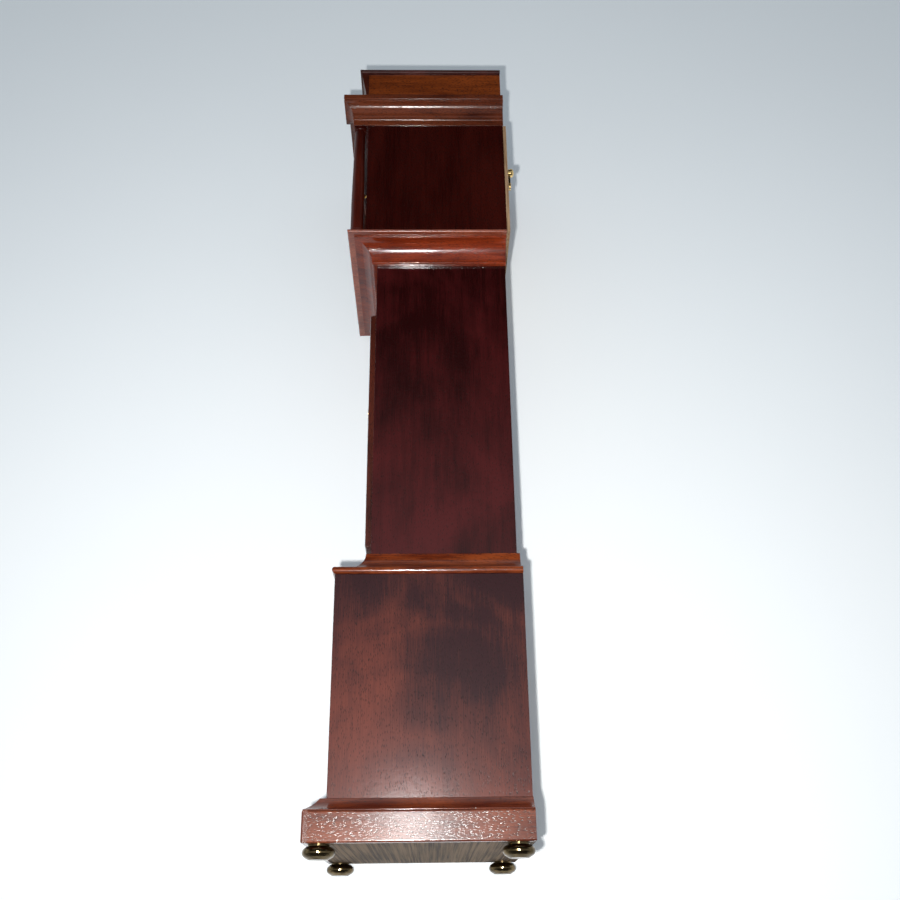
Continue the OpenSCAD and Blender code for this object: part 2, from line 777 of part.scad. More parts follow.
module top_board() {
    r = lid_t / 2;
    front = box_y - lid_front;
    half = hood_w / 2 + lid_side;
    color(mahogany_warm) {
        span_board(half - r, front + r, box_back_y, lid_z, lid_z + lid_t);
        mitred(half - r, front + r, box_back_y, r + 1)
            translate([0, lid_z + r]) intersection() {
                circle(r);
                translate([0, -r]) square([r, lid_t]);
            }
    }
}

// Glazed hood door

module hood_door() {
    z0 = hood_open_z + inset_play;
    step = glass_step;
    color(mahogany) difference() {
        union() {
            board([hood_hinge_x, hood_y, z0], [hood_door_w - hood_door_t / 2, hood_door_t, hood_door_h]);
            translate([hood_hinge_x, hood_hinge_y, z0]) cylinder(d = hood_door_t, h = hood_door_h);
        }
        span_board(window_w / 2, hood_y - 1, hood_y + hood_door_t + 1, z0 + hood_stile,
            z0 + hood_stile + window_h);
        span_board(window_w / 2 + step, hood_y + hood_door_t - glass_rebate, hood_y + hood_door_t + 1,
            z0 + hood_stile - step, z0 + hood_stile + window_h + step);
        for (z = [z0 - 1, z0 + hood_door_h - 4]) translate([hood_hinge_x, hood_hinge_y, z])
            cylinder(r = door_pin_r, h = 5);
    }
}

module hood_door_glass() {
    play = 0.2;
    w = window_w + 2 * glass_step - 2 * play;
    h = window_h + 2 * glass_step - 2 * play;
    y = hood_y + hood_door_t - glass_rebate;
    color([0.8, 0.9, 0.9, 0.35])
        span_board(w / 2, y, y + glass_t, centre_z - h / 2, centre_z + h / 2);
}

module hood_door_knob() {
    color(brass) translate([hood_door_w / 2 - hood_stile / 2, hood_y, centre_z]) rotate([90, 0, 0])
        rotate_extrude() polygon(concat([[0, 0], [2.2, 0], [2.2, 0.5], [1, 1], [0.9, 2]],
            arc(0, 3.8, 2.1, 2.1, -60, 90, 8)));
}

// Two pins that the glazed door swings on, driven into its ends
module hood_door_pins() {
    z0 = hood_open_z + inset_play;
    color(brass) for (z = [hood_open_z - door_pin_h, z0 + hood_door_h - 4])
        translate([hood_hinge_x, hood_hinge_y, z])
            cylinder(r = door_pin_r, h = door_pin_h + inset_play + 4);
}

// Back door and latch

module back_door() {
    color(raw_wood) span_board(back_open_w / 2 - inset_play, hood_back_y, frame_back_y,
        back_open_z + inset_play, back_open_z + back_open_h - inset_play);
}

back_hinge_zs = [back_open_z + 14, back_open_z + back_open_h - 14];

module back_leaf(side, mine) {
    leaf_w = 6;
    third = hinge_h / 3;
    for (z = back_hinge_zs) {
        knuckles(back_hinge_x, back_hinge_y, z, mine);
        for (i = mine) difference() {
            board([back_hinge_x + (side < 0 ? -leaf_w : 0), frame_back_y,
                z - hinge_h / 2 + i * third + running], [leaf_w, leaf_t, third - 2 * running]);
            translate([back_hinge_x, back_hinge_y, z - hinge_h])
                cylinder(r = knuckle_r - e, h = 2 * hinge_h);
        }
        clear = knuckle_r + 0.3;
        board([back_hinge_x + (side < 0 ? -leaf_w : clear), frame_back_y, z - hinge_h / 2 + running],
            [leaf_w - clear, leaf_t, hinge_h - 2 * running]);
    }
}

module back_hinges() {
    color(brass) {
        back_leaf(-1, [0, 2]);
        for (z = back_hinge_zs) hinge_pin(back_hinge_x, back_hinge_y, z);
    }
}

module back_door_leaves() {
    color(brass) back_leaf(1, [1]);
}

curl_in = stud_r + 0.35;
curl_out = curl_in + 1.1;
screw_r = 1;

// The hook hangs from its screw. Its curl opens towards the side that it swings to.
module latch_hook() {
    color(brass) translate([latch_x, frame_back_y + hook_stand + hook_t, latch_z]) rotate([90, 0, 0])
        linear_extrude(hook_t) difference() {
            union() {
                circle(2.6);
                translate([-0.9, -hook_len + curl_out - 0.3]) square([1.8, hook_len - curl_out + 0.3]);
                translate([0, -hook_len]) circle(curl_out);
            }
            circle(screw_r + running);
            translate([0, -hook_len]) circle(curl_in);
            translate([-curl_out - 1, -hook_len - curl_in]) square([curl_out + 1, 2 * curl_in]);
        }
}

// Round-headed screw, with the washer that holds the hook off the frame
module latch_screw() {
    color(brass) {
        rod_y(latch_x, frame_back_y, latch_z, 2, hook_stand - running);
        rod_y(latch_x, frame_back_y, latch_z, screw_r, hook_stand + hook_t + 0.5);
        along_y(latch_x, frame_back_y + hook_stand + hook_t + running, latch_z)
            rotate_extrude() polygon(concat([[0, 0], [2.9, 0]],
                arc(0, 0.6, 2.9, screw_head_h - 0.6 - running, 0, 90, 8)));
    }
}

module latch_stud() {
    color(brass) {
        rod_y(stud_x, frame_back_y, latch_z, stud_r, hook_stand + hook_t + 0.5);
        along_y(stud_x, frame_back_y + hook_stand + hook_t + 0.4, latch_z)
            rotate_extrude() polygon(concat([[0, 0], [1.7, 0]], arc(0, 0.3, 1.7, 0.9, 0, 90, 6)));
    }
}

// Dial and hands

dial_foot_r = 1.5;

module dial_plate() {
    color([0.9, 0.87, 0.78]) difference() {
        union() {
            span_board(dial_w / 2, dial_y, dial_y + dial_t, centre_z - dial_h / 2, centre_z + dial_h / 2);
            for (x = [-1, 1], z = [-1, 1])
                rod_y(x * (dial_w / 2 - 11), dial_y + dial_t - e, centre_z + z * (dial_h / 2 - 7), dial_foot_r,
                    dial_gap + e);
        }
        rod_y(0, dial_y - 1, centre_z, hour_pipe_r + 0.5, dial_t + 2);
        rod_y(barrel_x, dial_y - 1, barrel_z, winding_r + 1, dial_t + 2);
    }
}

// A flat hand along +Z with a round eye, a slim blade and a leaf-shaped tip
module hand(len, eye, bore, t) {
    linear_extrude(t) difference() {
        union() {
            circle(eye);
            polygon([[-0.7, 0], [0.7, 0], [0.45, len * 0.55], [1.9, len * 0.72], [0, len],
                [-1.9, len * 0.72], [-0.45, len * 0.55]]);
        }
        circle(bore);
    }
}

hour_hand_y = dial_y - 1.8;
minute_hand_y = dial_y - 3.6;
hand_t = 0.7;

// At rest the hands say ten past ten.
minute_rest = 60;
hour_rest = 305;

module minute_hand() {
    color("black") translate([0, minute_hand_y + hand_t, centre_z]) rotate([90, 0, 0])
        rotate([0, 0, -minute_rest]) hand(minute_len, 2.8, cannon_r, hand_t);
}

module hour_hand() {
    color("black") translate([0, hour_hand_y + hand_t, centre_z]) rotate([90, 0, 0])
        rotate([0, 0, -hour_rest]) hand(hour_len, 3.8, hour_pipe_r, hand_t);
}

// Movement

module seat_board() {
    slot_w = plate_w * 2 / 3;
    slot_y = pendulum_y - 4;
    slot_d = 12;
    color(raw_wood) difference() {
        span_board(hood_w / 2 - board_t - seat_gap, plate_y - 2.5, slot_y + slot_d + 8, seat_z,
            seat_z + seat_t);
        board([-slot_w / 2, slot_y, seat_z - 1], [slot_w, slot_d, seat_t + 2]);
    }
}

// Holes for the pivots that run in a plate
module pivot_holes(y) {
    holes = [[third_x, third_z, pivot_r], [0, escape_z, pivot_r], [0, pallet_z, pivot_r],
        [0, centre_z, arbor_r], [barrel_x, barrel_z, winding_r]];
    for (h = holes) rod_y(h[0], y - 1, h[1], h[2] + running, plate_t + 2);
}

module plate_outline(y) {
    difference() {
        span_board(plate_w / 2, y, y + plate_t, plates_z, plates_z + plates_h);
        pivot_holes(y);
    }
}

minute_post_r = 0.9;

// Front plate, with the post that the minute wheel turns on
module front_plate() {
    color(brass) {
        plate_outline(plate_y);
        rod_y(motion_dist, plate_y - 4.3, centre_z, minute_post_r, 4.3 + e);
    }
}

suspension_pin_r = 1;

// Back plate, with the cock and pin that the pendulum hangs from
module back_plate() {
    y = back_plate_y + plate_t;
    arm = 3;
    reach = pendulum_y - y + 3.2;
    color(brass) {
        plate_outline(back_plate_y);
        difference() {
            union() {
                for (x = [-8, 8 - arm]) board([x, y - e, pallet_z - 3], [arm, reach, 5.6]);
                board([-8, y + reach - 1.2, pallet_z - 3], [16, 1.2, 5.6]);
            }
            rod_y(0, y, pallet_z, 1.4, 3);
        }
        rod_y(0, pendulum_y - 1.6, pallet_z, suspension_pin_r, 3.2 + 1.6 - 1.2 + e);
    }
}

module plate_pillars() {
    color(brass) for (x = [-1, 1], z = [plates_z + 6, plates_z + plates_h - 6])
        along_y(x * (plate_w / 2 - 5), plate_y + plate_t, z) rotate_extrude()
            polygon([[0, 0], [2.4, 0], [2.4, 2], [1.5, 3], [1.5, plate_gap - 3], [2.4, plate_gap - 2],
                [2.4, plate_gap], [0, plate_gap]]);
}

// A toothed wheel along Y with a bore
module wheel(m, n, turn, t, bore) {
    linear_extrude(t) difference() {
        polygon(teeth(m, n, turn));
        circle(bore);
    }
}

// Places a shape made in the plane of the plates, with its x to the right and its y up.
// It runs backwards from y by its thickness.
module in_plane(x, y, z, t) {
    translate([x, y + t, z]) rotate([90, 0, 0]) children();
}

wheel_in = plate_y + plate_t;
great_wheel_y = wheel_in + 1.6;
centre_wheel_y = wheel_in + 16;
third_wheel_y = wheel_in + 10;
escape_wheel_y = wheel_in + 6;

// Angle from the centre to the barrel and so on, with the teeth of each pair in mesh
module spring_barrel() {
    back = barrel_angle - 180;
    floor_t = 0.8;
    color(brass) difference() {
        union() {
            in_plane(barrel_x, great_wheel_y, barrel_z, wheel_t)
                linear_extrude(wheel_t) polygon(teeth(great_module, great_teeth, back));
            rod_y(barrel_x, great_wheel_y + wheel_t - e, barrel_z, barrel_r, barrel_len + e);
        }
        rod_y(barrel_x, great_wheel_y + wheel_t + floor_t, barrel_z, barrel_r - 1,
            barrel_len - 2 * floor_t);
        rod_y(barrel_x, great_wheel_y - 1, barrel_z, winding_r + running, barrel_len + wheel_t + 2);
    }
}

mainspring_turns = 7;

// The mainspring, wound inside the barrel
module mainspring() {
    r0 = winding_r + 1.2;
    r1 = barrel_r - 1.3;
    strip = 0.35;
    steps = 24;
    n = mainspring_turns * steps;
    y = great_wheel_y + wheel_t + 1.4;
    len = barrel_len - 2.8;
    inner = [for (i = [0 : n]) let (a = 360 * i / steps, r = r0 + (r1 - r0 - strip) * i / n)
        [r * cos(a), r * sin(a)]];
    outer = [for (i = [n : -1 : 0]) let (a = 360 * i / steps, r = r0 + strip + (r1 - r0 - strip) * i / n)
        [r * cos(a), r * sin(a)]];
    color(steel) along_y(barrel_x, y, barrel_z) linear_extrude(len) polygon(concat(inner, outer));
}

// Winding arbor, with the square for the key in front of the plate
module winding_arbor() {
    front = plate_y - dial_gap + 0.6;
    square_w = 2.4;
    end = back_plate_y + plate_t + 1;
    color(steel) {
        rod_y(barrel_x, plate_y - 0.4, barrel_z, winding_r, end - plate_y + 0.4);
        in_plane(barrel_x, front, barrel_z, plate_y - front - 0.4)
            translate([-square_w / 2, -square_w / 2]) cube([square_w, square_w, plate_y - front - 0.4]);
    }
}

// Centre wheel: its arbor carries the cannon pinion in front of the plate
module centre_wheel() {
    front = minute_hand_y - 1.2;
    end = back_plate_y + plate_t + 0.4;
    leaf_y = great_wheel_y - 0.5;
    color(brass) {
        rod_y(0, front, centre_z, arbor_r, end - front);
        in_plane(0, leaf_y, centre_z, wheel_t + 1) linear_extrude(wheel_t + 1)
            polygon(teeth(great_module, centre_leaves, barrel_angle + 180 / centre_leaves));
        in_plane(0, centre_wheel_y, centre_z, wheel_t) linear_extrude(wheel_t)
            polygon(teeth(train_module, centre_teeth, third_angle));
        rod_y(0, centre_wheel_y - 2, centre_z, 2.4, 2 + e);
    }
}

// An arbor with its thin pivots, from plate to plate
module train_arbor(x, z) {
    rod_y(x, wheel_in + 0.2, z, arbor_r - 0.1, plate_gap - 0.4);
    rod_y(x, plate_y + 0.2, z, pivot_r, plate_gap + 2 * plate_t - 0.4);
}

escape_dir = atan2(escape_z - third_z, -third_x);

module third_wheel() {
    color(brass) {
        train_arbor(third_x, third_z);
        in_plane(third_x, centre_wheel_y - 0.5, third_z, wheel_t + 1) linear_extrude(wheel_t + 1)
            polygon(teeth(train_module, third_leaves, third_angle + 180 + 180 / third_leaves));
        in_plane(third_x, third_wheel_y, third_z, wheel_t) linear_extrude(wheel_t)
            polygon(teeth(train_module, third_teeth, escape_dir));
    }
}

// Escape wheel with pointed teeth
module escape_wheel() {
    n = escape_teeth;
    ri = escape_r - 1.6;
    color(brass) {
        train_arbor(0, escape_z);
        in_plane(0, third_wheel_y - 0.5, escape_z, wheel_t + 1) linear_extrude(wheel_t + 1)
            polygon(teeth(train_module, escape_leaves, escape_dir + 180 + 180 / escape_leaves));
        in_plane(0, escape_wheel_y, escape_z, wheel_t) linear_extrude(wheel_t)
            polygon([for (i = [0 : n - 1], q = [[0, ri], [0.3, escape_r], [0.42, escape_r], [0.6, ri]])
                let (a = 90 + (i + q[0] - 0.36) * 360 / n) [q[1] * cos(a), q[1] * sin(a)]]);
    }
}

pallet_lift = 0.75;

// Pallets: an anchor over the escape wheel, and the crutch behind the back plate
module pallets() {
    d = pallet_z - escape_z;
    r = escape_r + pallet_lift;
    reach = r / sqrt(2);
    crutch_y = back_plate_y + plate_t + 0.5;
    crutch_len = 22;
    color(steel) {
        train_arbor(0, pallet_z);
        rod_y(0, back_plate_y - 0.2, pallet_z, pivot_r, plate_t + 0.9);
        in_plane(0, escape_wheel_y - 0.3, pallet_z, 1.6) linear_extrude(1.6) {
            circle(1.6);
            for (s = [0, 1]) mirror([s, 0]) polygon([[-0.5, 1.6], [0, -0.6], [reach - 1.6, -d + reach + 1.9],
                [reach - 0.2, -d + reach + 0.3], [reach + 0.5, -d + reach + 1.2],
                [reach - 0.4, -d + reach + 3], [1.2, 1.4]]);
        }
        rod_y(0, crutch_y, pallet_z, 1.1, 1.2);
        board([-0.7, crutch_y + 0.2, pallet_z - crutch_len], [1.4, 0.8, crutch_len]);
        for (s = [-1, 1]) board([s * (rod_r + 0.5 + running) - 0.5, crutch_y + 0.2, pallet_z - crutch_len - 1],
            [1, pendulum_y + rod_r - crutch_y - 0.2, 1.4]);
        board([-rod_r - 1 - running, crutch_y + 0.2, pallet_z - crutch_len - 1],
            [2 * (rod_r + 1 + running), 0.8, 1.4]);
    }
}

// Pendulum rod: a ring on the suspension pin, a flat spring and the rod itself
module pendulum_rod() {
    spring_len = 8;
    color(steel) {
        difference() {
            union() {
                rod_y(0, pendulum_y - 1, pendulum_z, 2.2, 2);
                board([-1.5, pendulum_y - 0.3, pendulum_z - spring_len], [3, 0.6, spring_len - 1]);
            }
            rod_y(0, pendulum_y - 2, pendulum_z, suspension_pin_r + running, 4);
        }
        translate([0, pendulum_y, bob_z - bob_d / 2 - 6])
            cylinder(r = rod_r, h = pendulum_z - spring_len - bob_z + bob_d / 2 + 6);
        translate([0, pendulum_y, pendulum_z - spring_len - 1]) cylinder(r = 1.8, h = 2);
    }
}

// The bob and its rating nut, threaded on the rod
module pendulum_bob() {
    color(brass) difference() {
        union() {
            along_y(0, pendulum_y - bob_t / 2, bob_z) rotate_extrude() polygon(concat(
                [[0, 0]], arc(0, bob_t / 2 - 0.4, bob_d / 2, bob_t / 2 - 0.4, -90, 0, 12),
                arc(0, bob_t / 2 + 0.4, bob_d / 2, bob_t / 2 - 0.4, 0, 90, 12)));
            translate([0, pendulum_y, bob_z - bob_d / 2 - 3]) cylinder(r = 2.4, h = 2.4);
        }
        translate([0, pendulum_y, bob_z - bob_d]) cylinder(r = rod_r, h = 2 * bob_d);
    }
}

// Motion work

minute_wheel_y = plate_y - 1.6;
minute_leaf_y = plate_y - 3.6;

module cannon_pinion() {
    len = plate_y - 0.4 - minute_hand_y + 0.4;
    color(brass) difference() {
        union() {
            in_plane(0, minute_wheel_y - 0.2, centre_z, wheel_t + 0.4) linear_extrude(wheel_t + 0.4)
                polygon(teeth(motion_module, cannon_leaves, 180 / cannon_leaves));
            rod_y(0, minute_hand_y - 0.4, centre_z, cannon_r, len);
        }
        rod_y(0, minute_hand_y - 1, centre_z, arbor_r + running, len + 2);
    }
}

module minute_wheel() {
    color(brass) difference() {
        union() {
            in_plane(motion_dist, minute_wheel_y, centre_z, wheel_t) linear_extrude(wheel_t)
                polygon(teeth(motion_module, minute_teeth, 180));
            in_plane(motion_dist, minute_leaf_y, centre_z, 2.1) linear_extrude(2.1)
                polygon(teeth(hour_module, minute_leaves, 180 + 180 / minute_leaves));
        }
        rod_y(motion_dist, minute_leaf_y - 1, centre_z, minute_post_r + running, 5);
    }
}

module hour_wheel() {
    y = minute_leaf_y + 0.3;
    color(brass) difference() {
        union() {
            in_plane(0, y, centre_z, wheel_t) linear_extrude(wheel_t)
                polygon(teeth(hour_module, hour_teeth, 0));
            rod_y(0, hour_hand_y - 0.3, centre_z, hour_pipe_r, y - hour_hand_y + 0.3 + e);
        }
        rod_y(0, hour_hand_y - 1, centre_z, cannon_r + 2 * running, 10);
    }
}

bottom_board();
plinth_front();
plinth_side_left();
plinth_side_right();
plinth_moulding();
base_front();
base_side_left();
base_side_right();
base_moulding();
back_board();
trunk_front();
trunk_side_left();
trunk_side_right();
throat_moulding();
hood_base();
hood_front();
hood_side_left();
hood_side_right();
column_left();
column_right();
hood_back_frame();
hood_top_board();
cornice();
top_box();
crest_moulding();
top_board();
seat_board();
bun_feet();
trunk_door();
trunk_door_escutcheon();
trunk_hinges();
trunk_door_leaves();
hood_door();
hood_door_glass();
hood_door_knob();
hood_door_pins();
back_door();
back_hinges();
back_door_leaves();
latch_hook();
latch_screw();
latch_stud();
dial_plate();
minute_hand();
hour_hand();
front_plate();
back_plate();
plate_pillars();
spring_barrel();
winding_arbor();
mainspring();
centre_wheel();
third_wheel();
escape_wheel();
pallets();
pendulum_rod();
pendulum_bob();
cannon_pinion();
minute_wheel();
hour_wheel();
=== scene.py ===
# Miniature mahogany longcase clock: finishes, fine detail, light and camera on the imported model.
import json
import math
import random

import bmesh
import bpy
from mathutils import Matrix, Vector


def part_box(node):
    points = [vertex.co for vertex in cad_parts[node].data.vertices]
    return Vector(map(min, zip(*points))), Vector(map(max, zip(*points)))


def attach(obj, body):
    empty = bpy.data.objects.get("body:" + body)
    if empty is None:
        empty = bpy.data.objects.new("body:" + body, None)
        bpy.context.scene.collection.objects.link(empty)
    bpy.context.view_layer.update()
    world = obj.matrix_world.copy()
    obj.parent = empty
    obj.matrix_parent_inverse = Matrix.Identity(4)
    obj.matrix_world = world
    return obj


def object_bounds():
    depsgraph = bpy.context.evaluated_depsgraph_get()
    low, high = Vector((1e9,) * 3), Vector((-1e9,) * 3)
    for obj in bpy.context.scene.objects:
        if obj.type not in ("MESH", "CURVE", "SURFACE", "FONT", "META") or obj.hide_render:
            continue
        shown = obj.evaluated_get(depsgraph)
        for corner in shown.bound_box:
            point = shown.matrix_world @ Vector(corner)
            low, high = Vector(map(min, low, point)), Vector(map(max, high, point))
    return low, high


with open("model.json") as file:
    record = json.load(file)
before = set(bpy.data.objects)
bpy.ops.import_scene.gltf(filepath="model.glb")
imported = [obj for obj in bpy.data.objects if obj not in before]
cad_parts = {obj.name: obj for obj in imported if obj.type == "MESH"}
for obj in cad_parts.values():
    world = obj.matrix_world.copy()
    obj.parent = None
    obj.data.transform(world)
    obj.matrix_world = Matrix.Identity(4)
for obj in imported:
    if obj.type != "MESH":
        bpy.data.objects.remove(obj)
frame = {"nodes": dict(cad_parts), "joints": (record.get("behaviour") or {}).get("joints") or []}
cad_box = [list(corner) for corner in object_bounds()]
nodes = frame["nodes"]

# Metres in a millimetre
MM = 0.001


# Shader helpers

# The middle of a noise, where most of its values lie
NOISE_LOW = 0.3
NOISE_HIGH = 0.7


class Graph:
    """A node tree, with short names for the nodes that the finishes and the room share."""

    def __init__(self, tree):
        self.tree = tree
        self.tree.nodes.clear()

    def new(self, kind, **values):
        node = self.tree.nodes.new(kind)
        for key, value in values.items():
            setattr(node, key, value)
        return node

    def link(self, a, b):
        self.tree.links.new(a, b)

    def put(self, socket, value):
        if isinstance(value, bpy.types.NodeSocket):
            self.link(value, socket)
        else:
            socket.default_value = value

    def math(self, operation, a, b, clamp=False):
        node = self.new("ShaderNodeMath", operation=operation, use_clamp=clamp)
        self.put(node.inputs[0], a)
        self.put(node.inputs[1], b)
        return node.outputs[0]

    def vector_math(self, operation, a, b):
        node = self.new("ShaderNodeVectorMath", operation=operation)
        self.put(node.inputs[0], a)
        self.put(node.inputs[1], b)
        return node.outputs[0]

    def scaled(self, vector, scale):
        """Multiplies a vector by one scale, or by one for each axis."""
        return self.vector_math("MULTIPLY", vector, scale if isinstance(scale, tuple) else (scale,) * 3)

    def axes(self, vector):
        parts = self.new("ShaderNodeSeparateXYZ")
        self.link(vector, parts.inputs[0])
        return parts.outputs

    def remap(self, value, a, b, low=0.0, high=1.0, smooth=False):
        node = self.new("ShaderNodeMapRange", interpolation_type="SMOOTHSTEP" if smooth else "LINEAR")
        self.link(value, node.inputs["Value"])
        for key, number in (("From Min", a), ("From Max", b), ("To Min", low), ("To Max", high)):
            node.inputs[key].default_value = number
        return node.outputs["Result"]

    def spread(self, noise, low=0.0, high=1.0):
        """Stretches the middle of a noise over a range."""
        return self.remap(noise, NOISE_LOW, NOISE_HIGH, low, high)

    def mix(self, factor, a, b):
        node = self.new("ShaderNodeMix", data_type="FLOAT")
        for key, value in (("Factor", factor), ("A", a), ("B", b)):
            self.put(node.inputs[key], value)
        return node.outputs["Result"]

    def blend(self, factor, a, b):
        """Mixes two colours."""
        node = self.new("ShaderNodeMix", data_type="RGBA", blend_type="MIX")
        self.put(node.inputs["Factor"], factor)
        self.put(node.inputs["A"], (*a, 1.0) if isinstance(a, tuple) else a)
        self.put(node.inputs["B"], (*b, 1.0) if isinstance(b, tuple) else b)
        return node.outputs["Result"]

    def noise(self, vector, detail=2.0, rough=0.5, distortion=0.0):
        node = self.new("ShaderNodeTexNoise")
        self.link(vector, node.inputs["Vector"])
        node.inputs["Scale"].default_value = 1.0
        node.inputs["Detail"].default_value = detail
        node.inputs["Roughness"].default_value = rough
        node.inputs["Distortion"].default_value = distortion
        return node.outputs["Fac"]

    def cells(self, vector, feature):
        node = self.new("ShaderNodeTexVoronoi", feature=feature)
        node.inputs["Scale"].default_value = 1.0
        self.link(vector, node.inputs["Vector"])
        return node.outputs


class Finish(Graph):
    """The node tree of one material with its shader."""

    def __init__(self, name):
        self.material = bpy.data.materials.new(name)
        self.material.use_nodes = True
        super().__init__(self.material.node_tree)
        self.out = self.new("ShaderNodeOutputMaterial")
        self.shader = self.new("ShaderNodeBsdfPrincipled")
        self.link(self.shader.outputs["BSDF"], self.out.inputs["Surface"])

    def set(self, **values):
        for key, value in values.items():
            self.shader.inputs[key.replace("_", " ")].default_value = value

    def feed(self, socket, value):
        """Links a value to a socket of the shader."""
        self.link(value, self.shader.inputs[socket])

    def bump(self, height, distance, strength, socket="Normal"):
        """Raises the surface by a height. The distance is in millimetres."""
        node = self.new("ShaderNodeBump")
        node.inputs["Strength"].default_value = strength
        node.inputs["Distance"].default_value = distance * MM
        self.link(height, node.inputs["Height"])
        self.feed(socket, node.outputs["Normal"])

    def place(self):
        return self.new("ShaderNodeTexCoord").outputs["Object"]


def along(axis, across, length):
    """Texture scale per metre: across the grain, and along it on one axis."""
    return tuple(length if letter == axis else across for letter in "xyz")


# Texture scales per metre, across and along the grain
FINE_STREAKS = (2600.0, 70.0)
PORE_CELLS = (2300.0, 430.0)
RAW_PATCHES = (40.0, 12.0)
RAW_FIBRES = (5200.0, 300.0)

PORE_COLOUR = (0.012, 0.003, 0.002)
# How much of the wood's colour a pore covers
PORE_COVER = 0.9
# Waves of the varnish per metre
VARNISH_WAVES = 420.0
# Roughness of the wood under its varnish, from the dark figure to the light
WOOD_ROUGH = (0.35, 0.47)
# Relief of the wood and of its varnish, in millimetres, and how strongly both show
WOOD_RELIEF = 0.05
VARNISH_RELIEF = 0.035
RELIEF_STRENGTH = 0.7
# Height of the streaks against the depth of a pore, and how much of a pore shows through the varnish
STREAK_HEIGHT = 0.25
PORE_IN_VARNISH = 0.6


def pore_dashes(tree, place, axis, share):
    """Short dashes along the grain, in this share of the cells."""
    cells = tree.cells(tree.scaled(place, along(axis, *PORE_CELLS)), "F1")
    chance = tree.new("ShaderNodeSeparateColor")
    tree.link(cells["Color"], chance.inputs[0])
    kept = tree.math("LESS_THAN", chance.outputs[0], share)
    return tree.math("MULTIPLY", tree.remap(cells["Distance"], 0.2, 0.42, 1.0, 0.0, smooth=True), kept)


def wood(name, dark, light, axis, pores=0.5, coat=1.0, coat_rough=0.1, figure=22.0, long=0.35, ribbons=0.25,
         streaks=0.5, shift=0.0, painted_light_fade=None):
    """Varnished mahogany: broad figure, ribbons, fine streaks and open pores, stretched along the grain.

    The shift takes each wood to its own part of the figure. The painted light fade is (from z, to z, at from,
    at to), with the heights in millimetres, and is added to the tone: painted light and shade, lighter low,
    darker high.
    """
    tree = Finish(name)
    place = tree.vector_math("ADD", tree.place(), (shift, shift * 0.7, shift * 1.3))
    broad = tree.noise(tree.scaled(place, along(axis, figure, figure * long)), 3.0, 0.55, 0.6)
    ribbon = tree.noise(tree.scaled(place, along(axis, figure * 9, figure * 0.9)), 3.0, 0.6, 0.3)
    fine = tree.noise(tree.scaled(place, along(axis, *FINE_STREAKS)), 3.0, 0.7)
    tone = tree.math("ADD", tree.spread(broad), tree.spread(ribbon, -ribbons, ribbons))
    # Painted light and shade: the tone is made lighter low and darker high
    if painted_light_fade:
        z0, z1, low, high = painted_light_fade
        level = tree.axes(tree.place())["Z"]
        tone = tree.math("ADD", tone, tree.remap(level, z0 * MM, z1 * MM, low, high))
    tone = tree.math("ADD", tone, tree.spread(fine, -streaks / 2, streaks / 2), clamp=True)
    dash = pore_dashes(tree, place, axis, pores)
    cover = tree.math("MULTIPLY", dash, PORE_COVER)
    tree.feed("Base Color", tree.blend(cover, tree.blend(tone, dark, light), PORE_COLOUR))
    tree.feed("Roughness", tree.spread(broad, *WOOD_ROUGH))
    height = tree.math("SUBTRACT", tree.math("MULTIPLY", fine, STREAK_HEIGHT), dash)
    tree.bump(height, WOOD_RELIEF, RELIEF_STRENGTH)
    waves = tree.noise(tree.scaled(place, VARNISH_WAVES), 2.0)
    film = tree.math("ADD", waves, tree.math("MULTIPLY", dash, -PORE_IN_VARNISH))
    tree.bump(film, VARNISH_RELIEF, RELIEF_STRENGTH, "Coat Normal")
    tree.set(Coat_Weight=coat, Coat_Roughness=coat_rough, Specular_IOR_Level=0.08)
    return tree.material


def raw(name, dark, light, axis, lines, length=45.0, wander=0.25):
    """Bare wood: fine lines of the saw and grain, matt."""
    tree = Finish(name)
    place = tree.place()
    broad = tree.noise(tree.scaled(place, along(axis, *RAW_PATCHES)), 3.0)
    cut = tree.noise(tree.scaled(place, along(axis, lines, length)), 2.0, 0.6, wander)
    fibre = tree.noise(tree.scaled(place, along(axis, *RAW_FIBRES)), 2.0)
    tone = tree.math("ADD", tree.remap(cut, 0.36, 0.64), tree.spread(broad, -0.3, 0.3))
    tone = tree.math("ADD", tone, tree.spread(fibre, -0.15, 0.15), clamp=True)
    tree.feed("Base Color", tree.blend(tone, dark, light))
    tree.bump(tree.math("ADD", cut, fibre), 0.06, 0.8)
    tree.set(Roughness=0.7, Specular_IOR_Level=0.15)
    return tree.material


def metal(name, bright, dull, rough, spread=0.1, patch=160.0, polish=900.0):
    """Metal with a patina in patches and faint marks of polishing, both in scales per metre."""
    tree = Finish(name)
    place = tree.place()
    patches = tree.noise(tree.scaled(place, patch), 4.0, 0.6, 0.4)
    marks = tree.noise(tree.scaled(place, polish), 3.0, 0.6)
    tree.feed("Base Color", tree.blend(tree.remap(patches, 0.35, 0.65), bright, dull))
    tree.feed("Roughness", tree.spread(patches, rough, rough + spread))
    tree.bump(marks, 0.01, 0.6)
    tree.set(Metallic=1.0)
    return tree.material


def enamel(name, light, dark, rough=0.28):
    """Aged paint: faint clouds and a web of hairline cracks."""
    tree = Finish(name)
    place = tree.place()
    clouds = tree.noise(tree.scaled(place, 60.0), 4.0, 0.6, 0.5)
    paint = tree.blend(tree.remap(clouds, 0.35, 0.7), light, dark)
    web = tree.cells(tree.scaled(place, 330.0), "DISTANCE_TO_EDGE")
    line = tree.remap(web["Distance"], 0.0, 0.02, 1.0, 0.0)
    crack = tree.math("MULTIPLY", line, tree.remap(clouds, 0.45, 0.7, 0.0, 0.5))
    tree.feed("Base Color", tree.blend(crack, paint, tuple(part * 0.45 for part in dark)))
    tree.feed("Roughness", tree.spread(clouds, rough, rough + 0.1))
    tree.set(Coat_Weight=0.25, Coat_Roughness=0.15)
    return tree.material


